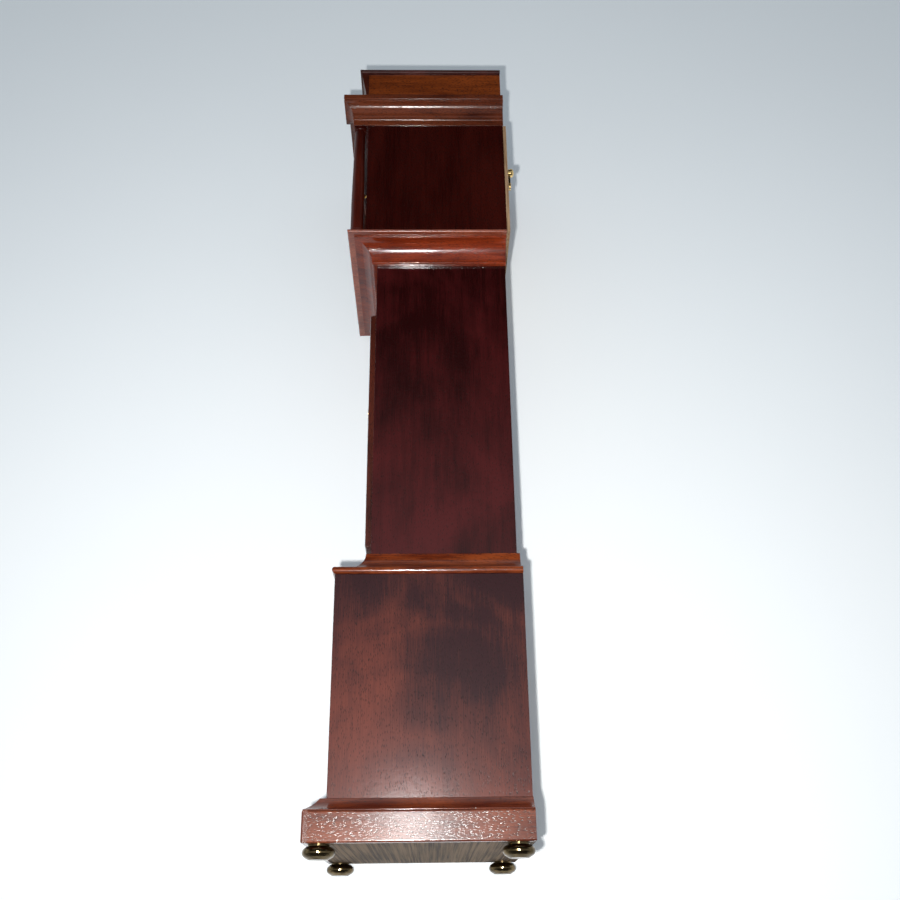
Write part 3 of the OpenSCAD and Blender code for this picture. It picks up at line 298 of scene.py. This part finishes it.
def clear_glass(name):
    """Clear glass with slow waves, as in old panes."""
    tree = Finish(name)
    tree.bump(tree.noise(tree.scaled(tree.place(), 45.0), 2.0), 0.05, 0.3)
    tree.set(Base_Color=(0.97, 0.99, 0.98, 1.0), Roughness=0.0, IOR=1.45, Transmission_Weight=1.0)
    return tree.material


# Finishes

RED_DARK = (0.014, 0.0007, 0.0008)
RED_LIGHT = (0.054, 0.0045, 0.0050)
PLINTH_DARK = (0.072, 0.0120, 0.0048)
PLINTH_LIGHT = (0.185, 0.0450, 0.0190)

# Painted light and shade: the trunk's tone is lighter low and darker high
trunk_wood = wood("mahogany_trunk", RED_DARK, RED_LIGHT, "z", figure=20.0, long=0.8,
                  painted_light_fade=(170, 350, 0.2, -0.3))
hood_wood = wood("mahogany_hood", (0.014, 0.0006, 0.0002), (0.036, 0.0027, 0.0012), "z",
                 figure=26.0, shift=0.4)
hood_door_wood = wood("mahogany_hood_door", RED_DARK, RED_LIGHT, "z", figure=30.0, shift=0.9)
trunk_door_wood = wood("mahogany_door", (0.024, 0.0036, 0.0022), (0.085, 0.0160, 0.0080), "z",
                       figure=34.0, shift=1.4)
column_wood = wood("mahogany_columns", (0.025, 0.0016, 0.0006), (0.060, 0.0065, 0.0025), "z",
                   coat=0.25, coat_rough=0.2, figure=60.0, shift=2.0)
rail_wood = wood("mahogany_rails", RED_DARK, RED_LIGHT, "x", figure=30.0, shift=2.6)
# Painted light and shade: the base's tone is lighter low, where the flash and its reflection fall, and darker
# high
base_wood = wood("mahogany_base", (0.020, 0.0024, 0.0040), (0.115, 0.0225, 0.0125), "z",
                 pores=0.75, coat_rough=0.17, figure=15.0, long=1.1, ribbons=0.12, shift=3.1,
                 painted_light_fade=(30, 140, 0.3, -0.42))
plinth_side_wood = wood("mahogany_plinth_side", PLINTH_DARK, PLINTH_LIGHT, "y",
                        pores=0.9, coat_rough=0.17, figure=40.0, streaks=0.8, shift=3.7)
plinth_front_wood = wood("mahogany_plinth_front", PLINTH_DARK, PLINTH_LIGHT, "x",
                         pores=0.9, coat_rough=0.2, figure=40.0, streaks=0.8, shift=4.1)

# The grain of the mouldings runs front to back, as it does on their side lengths
plinth_mould_wood = wood("mahogany_plinth_moulding", (0.065, 0.0095, 0.0035), (0.210, 0.0440, 0.0130), "y",
                         figure=50.0, shift=4.6)
base_mould_wood = wood("mahogany_base_moulding", (0.055, 0.0060, 0.0018), (0.220, 0.0440, 0.0100), "y",
                       coat=0.6, coat_rough=0.14, figure=45.0, streaks=0.9, shift=5.2)
throat_wood = wood("mahogany_throat", (0.080, 0.0065, 0.0014), (0.250, 0.0320, 0.0065), "y",
                   coat=0.7, coat_rough=0.11, figure=45.0, streaks=0.8, shift=5.9)
# The rim's colour is partly its own and partly a painted highlight of the flash on its edge, lifted above the
# wood
rim_wood_and_highlight = wood("mahogany_rim_and_highlight", (0.150, 0.0250, 0.0110), (0.350, 0.0840, 0.0380), "y",
                coat_rough=0.24, figure=45.0, shift=6.4)
cornice_wood = wood("mahogany_cornice", (0.040, 0.0060, 0.0022), (0.140, 0.0300, 0.0105), "y",
                    pores=0.8, coat=0.5, coat_rough=0.16, figure=45.0, shift=7.0)

box_wood = wood("mahogany_top_box", (0.055, 0.0085, 0.0015), (0.210, 0.0430, 0.0070), "y",
                figure=38.0, streaks=0.8, shift=7.7)
top_wood = wood("mahogany_top_board", (0.022, 0.0042, 0.0042), (0.070, 0.0170, 0.0140), "x",
                coat=0.1, coat_rough=0.3, figure=38.0, shift=8.3)
crest_wood = wood("mahogany_crest", (0.020, 0.0030, 0.0018), (0.065, 0.0120, 0.0060), "x",
                  coat=0.12, figure=38.0, shift=8.9)
under_wood = raw("bare_bottom", (0.075, 0.048, 0.030), (0.310, 0.210, 0.132), "x",
                 lines=800.0, length=9.0, wander=0.0)
back_wood = raw("bare_back", (0.210, 0.125, 0.068), (0.400, 0.270, 0.165), "z", lines=900.0)
seat_wood = raw("bare_seat", (0.280, 0.180, 0.100), (0.480, 0.340, 0.210), "x", lines=900.0)
brass = metal("brass_polished", (0.86, 0.62, 0.27), (0.60, 0.40, 0.15), 0.16)
gear_brass = metal("brass_gears", (0.80, 0.59, 0.27), (0.62, 0.43, 0.18), 0.24, polish=(300.0, 2500.0, 300.0))
feet_brass = metal("brass_feet", (0.180, 0.130, 0.065), (0.060, 0.042, 0.020), 0.15,
                   spread=0.12, patch=190.0)
steel = metal("steel_turned", (0.52, 0.53, 0.55), (0.36, 0.36, 0.37), 0.22)
blued = metal("hands_black", (0.018, 0.020, 0.026), (0.010, 0.011, 0.014), 0.25)
ivory = enamel("dial_ivory", (0.80, 0.745, 0.60), (0.70, 0.62, 0.46))
ink = enamel("dial_black", (0.012, 0.011, 0.010), (0.020, 0.018, 0.015), rough=0.35)
gilt = metal("dial_gilt", (0.83, 0.60, 0.24), (0.55, 0.37, 0.13), 0.3, spread=0.15, patch=400.0)
glass = clear_glass("glass_clear")

FINISH = {
    trunk_wood: "trunk_front trunk_side_left trunk_side_right",
    hood_wood: "hood_side_left hood_side_right hood_top_board hood_front",
    hood_door_wood: "hood_door",
    trunk_door_wood: "trunk_door",
    column_wood: "column_left column_right",
    base_wood: "base_front base_side_left base_side_right",
    plinth_side_wood: "plinth_side_left plinth_side_right",
    plinth_front_wood: "plinth_front",
    plinth_mould_wood: "plinth_moulding",
    base_mould_wood: "base_moulding",
    throat_wood: "throat_moulding",
    rim_wood_and_highlight: "hood_base",
    cornice_wood: "cornice",
    box_wood: "top_box",
    top_wood: "top_board",
    crest_wood: "crest_moulding",
    under_wood: "bottom_board",
    back_wood: "back_board hood_back_frame back_door",
    seat_wood: "seat_board",
    brass: "trunk_door_escutcheon trunk_hinges trunk_door_leaves hood_door_knob hood_door_pins back_hinges "
           "back_door_leaves latch_hook latch_screw latch_stud pendulum_bob",
    gear_brass: "front_plate back_plate plate_pillars spring_barrel centre_wheel third_wheel escape_wheel "
                "cannon_pinion minute_wheel hour_wheel",
    feet_brass: "bun_feet",
    steel: "winding_arbor mainspring pallets pendulum_rod",
    blued: "minute_hand hour_hand",
    ivory: "dial_plate",
    glass: "hood_door_glass",
}
for material, names in FINISH.items():
    for name in names.split():
        nodes[name].material_slots[0].material = material


# Rounded arrises on the wooden parts

# Two faces that meet at less than this angle are one smooth surface
SMOOTH_ANGLE = math.radians(35)
# Faces that meet at less than this angle are one flat face
FLAT_ANGLE = math.radians(0.5)
ARRIS_STEPS = 2

# Width of the rounded arris of each node, in millimetres
ARRIS = {
    "trunk_front": 0.12,
    "trunk_door": 0.7,
    "hood_front": 0.12,
    "hood_door": 0.4,
    "base_side_left": 0.3,
    "base_side_right": 0.3,
    "top_box": 0.25,
    "crest_moulding": 0.2,
    "cornice": 0.22,
    "throat_moulding": 0.22,
    "base_moulding": 0.22,
    "plinth_moulding": 0.18,
    "back_board": 0.25,
    "hood_back_frame": 0.2,
    "back_door": 0.2,
    "seat_board": 0.25,
    "bottom_board": 0.15,
    "hood_top_board": 0.2,
}


def edge_group():
    """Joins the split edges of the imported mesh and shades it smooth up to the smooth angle."""
    group = bpy.data.node_groups.new("join_and_smooth", "GeometryNodeTree")
    for flow in ("INPUT", "OUTPUT"):
        group.interface.new_socket("Geometry", in_out=flow, socket_type="NodeSocketGeometry")
    add = group.nodes.new
    start = add("NodeGroupInput")
    end = add("NodeGroupOutput")
    merge = add("GeometryNodeMergeByDistance")
    merge.inputs["Distance"].default_value = 0.002 * MM
    strip = add("GeometryNodeRemoveAttribute")
    strip.inputs["Name"].default_value = "custom_normal"
    faces = add("GeometryNodeSetShadeSmooth")
    faces.domain = "FACE"
    edges = add("GeometryNodeSetShadeSmooth")
    edges.domain = "EDGE"
    angle = add("GeometryNodeInputMeshEdgeAngle")
    near = add("FunctionNodeCompare")
    near.data_type = "FLOAT"
    near.operation = "LESS_EQUAL"
    near.inputs["B"].default_value = SMOOTH_ANGLE
    link = group.links.new
    link(start.outputs[0], merge.inputs["Geometry"])
    link(merge.outputs["Geometry"], strip.inputs["Geometry"])
    link(strip.outputs["Geometry"], faces.inputs["Geometry"])
    link(faces.outputs["Geometry"], edges.inputs["Geometry"])
    link(angle.outputs["Unsigned Angle"], near.inputs["A"])
    link(near.outputs["Result"], edges.inputs["Shade Smooth"])
    link(edges.outputs["Geometry"], end.inputs[0])
    return group


def soften(obj, width, group):
    """Rounds the sharp edges of a node with modifiers, which leave its mesh as it is."""
    obj.modifiers.new("join", "NODES").node_group = group
    flat = obj.modifiers.new("flat", "DECIMATE")
    flat.decimate_type = "DISSOLVE"
    flat.angle_limit = FLAT_ANGLE
    bevel = obj.modifiers.new("arris", "BEVEL")
    bevel.width = width * MM
    bevel.segments = ARRIS_STEPS
    bevel.limit_method = "ANGLE"
    bevel.angle_limit = SMOOTH_ANGLE
    bevel.harden_normals = True


smooth_edges = edge_group()
for name, width in ARRIS.items():
    soften(nodes[name], width, smooth_edges)


# Mesh helpers

def finish_piece(mesh_maker, name, body, material):
    """Makes a piece from a bmesh, gives it its finish and lets it ride on a body."""
    bm = bmesh.new()
    mesh_maker(bm)
    bmesh.ops.recalc_face_normals(bm, faces=bm.faces)
    mesh = bpy.data.meshes.new(name)
    bm.to_mesh(mesh)
    bm.free()
    obj = bpy.data.objects.new(name, mesh)
    bpy.context.scene.collection.objects.link(obj)
    mesh.materials.append(material)
    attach(obj, body)


def skin(bm, loops):
    """Closed loops of vertices, joined each to the next and the last to the first."""
    for k, one in enumerate(loops):
        two = loops[(k + 1) % len(loops)]
        for i in range(len(one)):
            j = (i + 1) % len(one)
            bm.faces.new((one[i], one[j], two[j], two[i]))


def prism(bm, outline, front, back):
    """A flat outline in x and z, from its front to its back in y."""
    a = [bm.verts.new((x, front, z)) for x, z in outline]
    b = [bm.verts.new((x, back, z)) for x, z in outline]
    bm.faces.new(a)
    bm.faces.new(b[::-1])
    for i in range(len(a)):
        j = (i + 1) % len(a)
        bm.faces.new((a[i], b[i], b[j], a[j]))


def ring(bm, centre, inner, outer, front, back, steps=96):
    """A flat ring round a centre in x and z. With no inner radius it is a disc."""
    x0, z0 = centre
    turns = [math.tau * i / steps for i in range(steps)]
    loops = []
    for radius, y in ((inner, front), (outer, front), (outer, back), (inner, back)):
        loops.append([bm.verts.new((x0 + radius * math.sin(turn), y, z0 + radius * math.cos(turn)))
                      for turn in turns])
    skin(bm, loops)


def arc_points(cx, cy, r, a0, a1, n):
    """Points of an arc from angle a0 to a1, in degrees."""
    angles = [math.radians(a0 + (a1 - a0) * i / n) for i in range(n + 1)]
    return [(cx + r * math.cos(angle), cy + r * math.sin(angle)) for angle in angles]


# Dial: hours, minute track, spandrels and bushes

DIAL_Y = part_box("dial_plate")[0].y
joint_places = {joint["name"]: joint["pos_m"] for joint in frame["joints"]}
CENTRE_Z = joint_places["centre_wheel_turn"][2]
arbor_lo, arbor_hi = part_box("winding_arbor")
ARBOR_PLACE = ((arbor_lo.x + arbor_hi.x) / 2, (arbor_lo.z + arbor_hi.z) / 2)

# How deep the pieces reach into the dial, how far paint stands on it, and how far the minute marks do
ROOT = 0.02 * MM
PAINT = 0.05 * MM
MARK_PAINT = 0.045 * MM
# Each stroke of a letter stands this much higher than the last, so that no two lie in one plane
STROKE_STEP = 0.004 * MM

NUMERALS = ["XII", "I", "II", "III", "IIII", "V", "VI", "VII", "VIII", "IX", "X", "XI"]
NUMERAL_H = 5.0 * MM
NUMERAL_R = 21.9 * MM
# Width of the letters against their drawing
CONDENSED = 0.92

# Minute track: its two circles, half the width of their lines and of the marks
TRACK = (28.0, 29.5)
TRACK_HALF = 0.09
MINUTE_HALF = 0.1
FIVE_MINUTE_HALF = 0.3

# Strokes and serifs of the letters, for a height of 1
THICK = 0.19
THIN = 0.07
SERIF_T = 0.06


def stroke(a, b, width):
    """A stem from a to b whose width is measured level, as in cut capitals."""
    (x0, z0), (x1, z1) = a, b
    half = width / 2
    return [(x0 - half, z0), (x0 + half, z0), (x1 + half, z1), (x1 - half, z1)]


def serif(x, z, width):
    half = width / 2
    return [(x - half, z), (x + half, z), (x + half, z + SERIF_T), (x - half, z + SERIF_T)]


# Height of the serifs at the top of a letter
HEAD = 1 - SERIF_T

# Each letter's advance and its shapes
GLYPHS = {
    "I": (0.44, [stroke((0, 0), (0, 1), THICK), serif(0, 0, 0.38), serif(0, HEAD, 0.38)]),
    "V": (0.86, [stroke((-0.30, 1), (0, 0), THICK), stroke((0.30, 1), (0, 0), THIN),
                 serif(-0.30, HEAD, 0.34), serif(0.30, HEAD, 0.26)]),
    "X": (0.86, [stroke((-0.28, 1), (0.28, 0), THICK), stroke((0.28, 1), (-0.28, 0), THIN),
                 serif(-0.28, HEAD, 0.34), serif(0.28, HEAD, 0.26),
                 serif(-0.28, 0, 0.26), serif(0.28, 0, 0.34)]),
}


def on_dial(u, v, turn):
    """A point u to the right of a hand's line and v out along it, for a hand at this turn."""
    return (u * math.cos(turn) + v * math.sin(turn), CENTRE_Z - u * math.sin(turn) + v * math.cos(turn))


def numerals(bm):
    """Roman hours, with their feet to the centre."""
    for hour, text in enumerate(NUMERALS):
        turn = math.tau * hour / 12
        pen = -sum(GLYPHS[letter][0] for letter in text) / 2
        for letter in text:
            advance, shapes = GLYPHS[letter]
            for n, shape in enumerate(shapes):
                points = []
                for x, z in shape:
                    u = (pen + advance / 2 + x) * NUMERAL_H * CONDENSED
                    points.append(on_dial(u, NUMERAL_R + z * NUMERAL_H, turn))
                prism(bm, points, DIAL_Y - PAINT - n * STROKE_STEP, DIAL_Y + ROOT)
            pen += advance


def minute_track(bm):
    """Two fine circles with a mark for each minute, and a wider one for each five."""
    inner, outer = TRACK
    for radius in TRACK:
        ring(bm, (0, CENTRE_Z), (radius - TRACK_HALF) * MM, (radius + TRACK_HALF) * MM, DIAL_Y - PAINT,
             DIAL_Y + ROOT, 120)
    for minute in range(60):
        half = FIVE_MINUTE_HALF if minute % 5 == 0 else MINUTE_HALF
        corners = ((-half, inner), (half, inner), (half, outer), (-half, outer))
        points = [on_dial(u * MM, v * MM, math.tau * minute / 60) for u, v in corners]
        prism(bm, points, DIAL_Y - MARK_PAINT, DIAL_Y + ROOT)


# Spandrels, in millimetres: the root of the leaves, and each leaf's angle from the middle one, its length
# and its width
SPANDREL_X = 33.6
SPANDREL_Z = 27.2
LEAVES = ((0, 7.6, 1.1), (24, 6.2, 0.9), (-24, 6.2, 0.9), (48, 4.6, 0.8), (-48, 4.6, 0.8))
LEAF_LIFT = 0.28
LEAF_STEPS = 10
# How far a leaf bows to one side, against its length
LEAF_BOW = 0.12
# Angle of the middle leaf to the level, towards the dial's centre
LEAF_ANGLE = 41
# Scrolls: how far each lies from the leaves' root along the dial's edge and outwards, its turns, radius,
# half width and height
SCROLL_ALONG = 9.6
SCROLL_OUT = 0.7
SCROLL_TURNS = 1.15
SCROLL_R = 2.0
SCROLL_HALF = 0.42
SCROLL_LIFT = 0.25
SCROLL_STEPS = 36
# Share of its radius that a scroll loses on the way to its eye
SCROLL_WIND = 0.78
# Round boss at the leaves' root
BOSS_R = 1.1
BOSS_LIFT = 0.35


def leaf(bm, root, direction, length, width, lift):
    """A pointed, bowed leaf with a raised rib, lying on the dial."""
    across = Vector((-direction.y, direction.x))
    left, right, rib = [], [], []
    for i in range(LEAF_STEPS + 1):
        t = i / LEAF_STEPS
        half = width * math.sin(math.pi * t ** 0.75) * (1 - t * 0.25)
        bow = across * (LEAF_BOW * length * math.sin(math.pi * t))
        p = root + direction * (length * t) + bow
        rib.append((p, lift * (0.25 + math.sin(math.pi * t))))
        left.append(p + across * half)
        right.append(p - across * half)
    base = DIAL_Y + ROOT
    for side in (left, right):
        for i in range(LEAF_STEPS):
            a, b = side[i], side[i + 1]
            (c, hc), (d, hd) = rib[i], rib[i + 1]
            places = ((a.x, base, a.y), (b.x, base, b.y), (d.x, DIAL_Y - hd, d.y), (c.x, DIAL_Y - hc, c.y))
            bm.faces.new([bm.verts.new(place) for place in places])


def scroll(bm, centre, start, hand):
    """A C-scroll: a band with a raised rib that winds in to its eye."""
    rows = []
    for i in range(SCROLL_STEPS + 1):
        t = i / SCROLL_STEPS
        angle = start + hand * math.tau * SCROLL_TURNS * t
        out = Vector((math.cos(angle), math.sin(angle)))
        half = SCROLL_HALF * MM * (0.35 + 0.65 * math.sin(math.pi * min(1.0, 0.15 + t * 0.85)))
        p = centre + out * (SCROLL_R * MM * (1 - SCROLL_WIND * t))
        rows.append((p + out * half, p, p - out * half))
    heights = (DIAL_Y + ROOT, DIAL_Y - SCROLL_LIFT * MM, DIAL_Y + ROOT)
    for i in range(SCROLL_STEPS):
        for k in (0, 1):
            quad = []
            for row, col in ((i, k), (i + 1, k), (i + 1, k + 1), (i, k + 1)):
                p = rows[row][col]
                quad.append(bm.verts.new((p.x, heights[col], p.y)))
            bm.faces.new(quad)


def spandrel(bm, sx, sz):
    """Leaves, two scrolls and a boss in the corner of the dial on this side of x and z."""
    corner = Vector((sx * SPANDREL_X * MM, CENTRE_Z + sz * SPANDREL_Z * MM))
    for angle, length, width in LEAVES:
        a = math.radians(LEAF_ANGLE + angle)
        direction = Vector((-sx * math.cos(a), -sz * math.sin(a)))
        leaf(bm, corner, direction, length * MM, width * MM, LEAF_LIFT * MM)
    level = Vector((-sx * SCROLL_ALONG * MM, sz * SCROLL_OUT * MM))
    scroll(bm, corner + level, math.pi if sx > 0 else 0.0, sx * sz)
    upright = Vector((sx * SCROLL_OUT * MM, -sz * SCROLL_ALONG * MM))
    scroll(bm, corner + upright, -math.pi / 2 if sz > 0 else math.pi / 2, -sx * sz)
    ring(bm, (corner.x, corner.y), 0.0, BOSS_R * MM, DIAL_Y - BOSS_LIFT * MM, DIAL_Y + ROOT, 16)


def spandrels(bm):
    for sx in (-1, 1):
        for sz in (-1, 1):
            spandrel(bm, sx, sz)


def dial_bushes(bm):
    """Brass rings that line the dial's two holes, for the winding key and, flatter, for the hands."""
    back = DIAL_Y + 0.5 * MM
    ring(bm, ARBOR_PLACE, 3.2 * MM, 3.75 * MM, DIAL_Y - 0.22 * MM, back, 48)
    ring(bm, (0, CENTRE_Z), 2.95 * MM, 3.5 * MM, DIAL_Y - 0.12 * MM, back, 48)


finish_piece(numerals, "dial_numerals", "case", ink)
finish_piece(minute_track, "dial_minute_track", "case", ink)
finish_piece(spandrels, "dial_spandrels", "case", gilt)
finish_piece(dial_bushes, "dial_bushes", "case", brass)


# Bead round the glass of the hood door

# Width of the door's rails and stiles, radius of the bead, its depth under the door's face and at the glass
DOOR_RAIL = 9 * MM
BEAD_R = 1.5 * MM
BEAD_FRONT = 0.55 * MM
BEAD_BACK = 2.28 * MM
# How far the bead reaches into the rails
BEAD_ROOT = 0.02 * MM


def window_bead(bm):
    """A mitred ovolo bead. Its profile is (in from the opening, back from the door's face)."""
    lo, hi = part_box("hood_door")
    half_w = (hi.x - lo.x) / 2 - DOOR_RAIL
    half_h = (hi.z - lo.z) / 2 - DOOR_RAIL
    profile = [(-BEAD_ROOT, BEAD_FRONT), *arc_points(0.0, BEAD_R + BEAD_FRONT, BEAD_R, -90, 0, 8),
               (BEAD_R, BEAD_BACK), (-BEAD_ROOT, BEAD_BACK)]
    loops = []
    for sx, sz in ((-1, -1), (1, -1), (1, 1), (-1, 1)):
        loops.append([bm.verts.new((sx * (half_w - u), lo.y + v, CENTRE_Z + sz * (half_h - u)))
                      for u, v in profile])
    skin(bm, loops)


finish_piece(window_bead, "hood_door_bead", "hood_door", rail_wood)


# Screws of the hinges

# Screw heads, in millimetres: radius on the back and on the trunk, height, and half the width of the slot
BACK_SCREW_R = 0.85
TRUNK_SCREW_R = 0.7
SCREW_H = 0.18
SLOT_HALF = 0.11
# Distance from a hinge's end to its middle, and from there to each screw
HINGE_HALF = 6.3
SCREW_ROW = 3.9
# How far the knuckles of the back hinges stand over their leaves, and the thickness of the trunk's leaves
KNUCKLE_RISE = 1.5
TRUNK_LEAF_T = 0.6
# Distance from the edge of the case leaf to its screws, on the back and on the trunk
BACK_LEAF_IN = 2.0
TRUNK_LEAF_IN = 1.6
# Distance from the back hinges' pin side to the screws of the door leaf
BACK_DOOR_OUT = 3.0
# The heads face along +y on the back and along -y on the front
BACKWARD = 1
FORWARD = -1


def screw_heads(bm, places, facing, radius):
    """Flat slotted heads at (x, y, z), each turned by its own angle."""
    for x, y, z, turn in places:
        for side in (-1, 1):
            points = []
            for u, v in arc_points(0, 0, radius, 0, 180, 12):
                u, v = u * MM, max(v, SLOT_HALF) * MM * side
                points.append((x + u * math.cos(turn) - v * math.sin(turn),
                               z + u * math.sin(turn) + v * math.cos(turn)))
            prism(bm, points, y + facing * SCREW_H * MM, y)
        floor = y + facing * SCREW_H * 0.35 * MM
        ring(bm, (x, z), 0.0, radius * 0.96 * MM, floor, y - facing * 0.05 * MM, 16)


def hinge_screws(name, body, node, x, y, facing, radius):
    """Two screws at x on each of the two hinges of a node, on the leaves' face at y."""
    lo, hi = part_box(node)
    rng = random.Random(7)
    places = []
    for middle in (lo.z + HINGE_HALF * MM, hi.z - HINGE_HALF * MM):
        for row in (-SCREW_ROW, SCREW_ROW):
            places.append((x, y, middle + row * MM, rng.uniform(0, math.pi)))
    finish_piece(lambda bm: screw_heads(bm, places, facing, radius), name, body, brass)


back_lo, back_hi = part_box("back_hinges")
back_face = back_hi.y - KNUCKLE_RISE * MM
hinge_screws("back_hinge_screws", "case", "back_hinges", back_lo.x + BACK_LEAF_IN * MM, back_face,
             BACKWARD, BACK_SCREW_R)
hinge_screws("back_door_screws", "back_door", "back_hinges", back_hi.x + BACK_DOOR_OUT * MM, back_face,
             BACKWARD, BACK_SCREW_R)
trunk_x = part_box("trunk_hinges")[0].x + TRUNK_LEAF_IN * MM
trunk_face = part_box("trunk_front")[0].y - TRUNK_LEAF_T * MM
hinge_screws("trunk_hinge_screws", "case", "trunk_hinges", trunk_x, trunk_face, FORWARD, TRUNK_SCREW_R)


# Table and room

# The clock lies on its left side. The table touches the plinth at this height and leans with the case
TABLE_X = cad_box[0][0]
TABLE_TOUCH_Z = 14.8 * MM
TABLE_LEAN = 0.0110
# Corners as (y, z), in metres
TABLE_CORNERS = ((-1.6, -1.2), (2.2, -1.2), (2.2, 2.0), (-1.6, 2.0))
# The far colour is painted shade: the table is darker and bluer away from the flash, where its light falls
# off
TABLE_NEAR = (0.95, 0.975, 0.985)
TABLE_FAR_SHADED = (0.90, 0.95, 0.985)
TABLE_MARKS = (0.80, 0.82, 0.85)
# The table's own faint light, near and far, stands for the light that a real room sends back to it
GLOW_COLOUR = (0.52, 0.74, 1.0, 1.0)
GLOW_NEAR = 0.085
GLOW_FAR = 0.05

ROOM_COLOUR = (0.90, 0.96, 1.0, 1.0)
# The room's light on the object, and its level where the camera sees it
ROOM_LIGHT = 0.33
ROOM_SEEN = 0.92


def table_material():
    """Pale table. It shows and reflects from its front only, and lets the light of the room past."""
    tree = Finish("table")
    place = tree.place()
    height = tree.axes(place)["Z"]
    # Painted shade: the table's colour darkens towards the far end
    far = tree.remap(height, 0.02, 0.78, smooth=True)
    marks = tree.noise(tree.scaled(place, 9.0), 4.0, 0.6)
    faint = tree.remap(marks, 0.35, 0.65, 0.0, 0.05)
    tree.feed("Base Color", tree.blend(faint, tree.blend(far, TABLE_NEAR, TABLE_FAR_SHADED), TABLE_MARKS))
    tree.feed("Emission Strength", tree.remap(height, 0.25, 0.75, GLOW_NEAR, GLOW_FAR, smooth=True))
    tree.set(Roughness=0.6, Specular_IOR_Level=0.0, Emission_Color=GLOW_COLOUR)
    clear = tree.new("ShaderNodeBsdfTransparent")
    mix = tree.new("ShaderNodeMixShader")
    path = tree.new("ShaderNodeLightPath")
    face = tree.new("ShaderNodeNewGeometry")
    unlit = tree.math("MAXIMUM", path.outputs["Is Shadow Ray"], path.outputs["Is Diffuse Ray"])
    tree.link(tree.math("MAXIMUM", face.outputs["Backfacing"], unlit), mix.inputs[0])
    tree.link(tree.shader.outputs["BSDF"], mix.inputs[1])
    tree.link(clear.outputs["BSDF"], mix.inputs[2])
    tree.link(mix.outputs["Shader"], tree.out.inputs["Surface"])
    return tree.material


def table():
    mesh = bpy.data.meshes.new("table")
    corners = [(TABLE_X + TABLE_LEAN * (z - TABLE_TOUCH_Z), y, z) for y, z in TABLE_CORNERS]
    mesh.from_pydata(corners, [], [(0, 1, 2, 3)])
    obj = bpy.data.objects.new("table", mesh)
    bpy.context.scene.collection.objects.link(obj)
    mesh.materials.append(table_material())


def room():
    """Pale room. Mirror rays see it pale beyond the table, and on the camera's side as a soft level band
    between a dark ceiling and a dark ground.
    """
    world = bpy.data.worlds.new("room")
    bpy.context.scene.world = world
    world.use_nodes = True
    tree = Graph(world.node_tree)
    out = tree.new("ShaderNodeOutputWorld")
    back = tree.new("ShaderNodeBackground")
    tree.link(back.outputs[0], out.inputs["Surface"])
    towards = tree.axes(tree.new("ShaderNodeTexCoord").outputs["Generated"])
    path = tree.new("ShaderNodeLightPath").outputs
    seen = tree.math("MAXIMUM", path["Is Camera Ray"], path["Is Transmission Ray"])
    level = tree.remap(seen, 0.0, 1.0, ROOM_LIGHT, ROOM_SEEN)
    ceiling = tree.remap(towards["Z"], 0.20, 0.56, 0.5, 0.0, smooth=True)
    ground = tree.remap(towards["Z"], -0.32, -0.04, 0.08, 1.0, smooth=True)
    beyond = tree.remap(towards["Z"], -0.75, -0.15, 0.12, 0.9, smooth=True)
    side = tree.remap(towards["X"], 0.05, 0.45, smooth=True)
    mirror = tree.mix(side, beyond, tree.math("MULTIPLY", ceiling, ground))
    back.inputs["Color"].default_value = ROOM_COLOUR
    tree.link(tree.mix(path["Is Glossy Ray"], level, mirror), back.inputs["Strength"])


table()
room()


# Lamps and camera, in metres

def lamp(name, place, target, size, power, colour=(1.0, 1.0, 1.0)):
    """A round lamp that faces its target."""
    data = bpy.data.lights.new(name, "AREA")
    data.shape = "DISK"
    data.size = size
    data.energy = power
    data.color = colour
    obj = bpy.data.objects.new(name, data)
    bpy.context.scene.collection.objects.link(obj)
    obj.location = place
    obj.rotation_mode = "QUATERNION"
    obj.rotation_quaternion = (Vector(target) - Vector(place)).to_track_quat("-Z", "Y")


def camera(place, right, up, lens):
    """A camera with its right and up directions, the lens in millimetres on a 36 mm sensor."""
    data = bpy.data.cameras.new("view")
    data.lens = lens
    data.sensor_width = 36.0
    data.clip_start = 0.01
    data.clip_end = 20.0
    obj = bpy.data.objects.new("view", data)
    bpy.context.scene.collection.objects.link(obj)
    right = Vector(right)
    back = right.cross(Vector(up)).normalized()
    up = back.cross(right).normalized()
    turn = Matrix((right.normalized(), up, back)).transposed()
    obj.rotation_mode = "QUATERNION"
    obj.rotation_quaternion = turn.to_quaternion()
    obj.location = place
    bpy.context.scene.camera = obj


CASE_MIDDLE = (0.0, 0.0, 0.28)

lamp("flash", (0.590, -0.018, -0.050), (0.0, 0.0, 0.17), 0.01, 4.05, (1.0, 0.985, 0.96))
lamp("glint", (0.600, -0.017, 0.066), (0.07, -0.006, 0.015), 0.05, 0.22)
lamp("front_fill", (-0.5, -1.5, 0.9), CASE_MIDDLE, 0.9, 9.0)
lamp("back_fill", (-0.6, 1.5, 0.8), CASE_MIDDLE, 0.9, 7.0)
camera((0.5979, 0.0033, -0.0361), (0.0154, 0.9998, -0.0113), (0.42914, 0.00358, 0.90323), 41.44)
bpy.context.scene.view_settings.view_transform = "Standard"
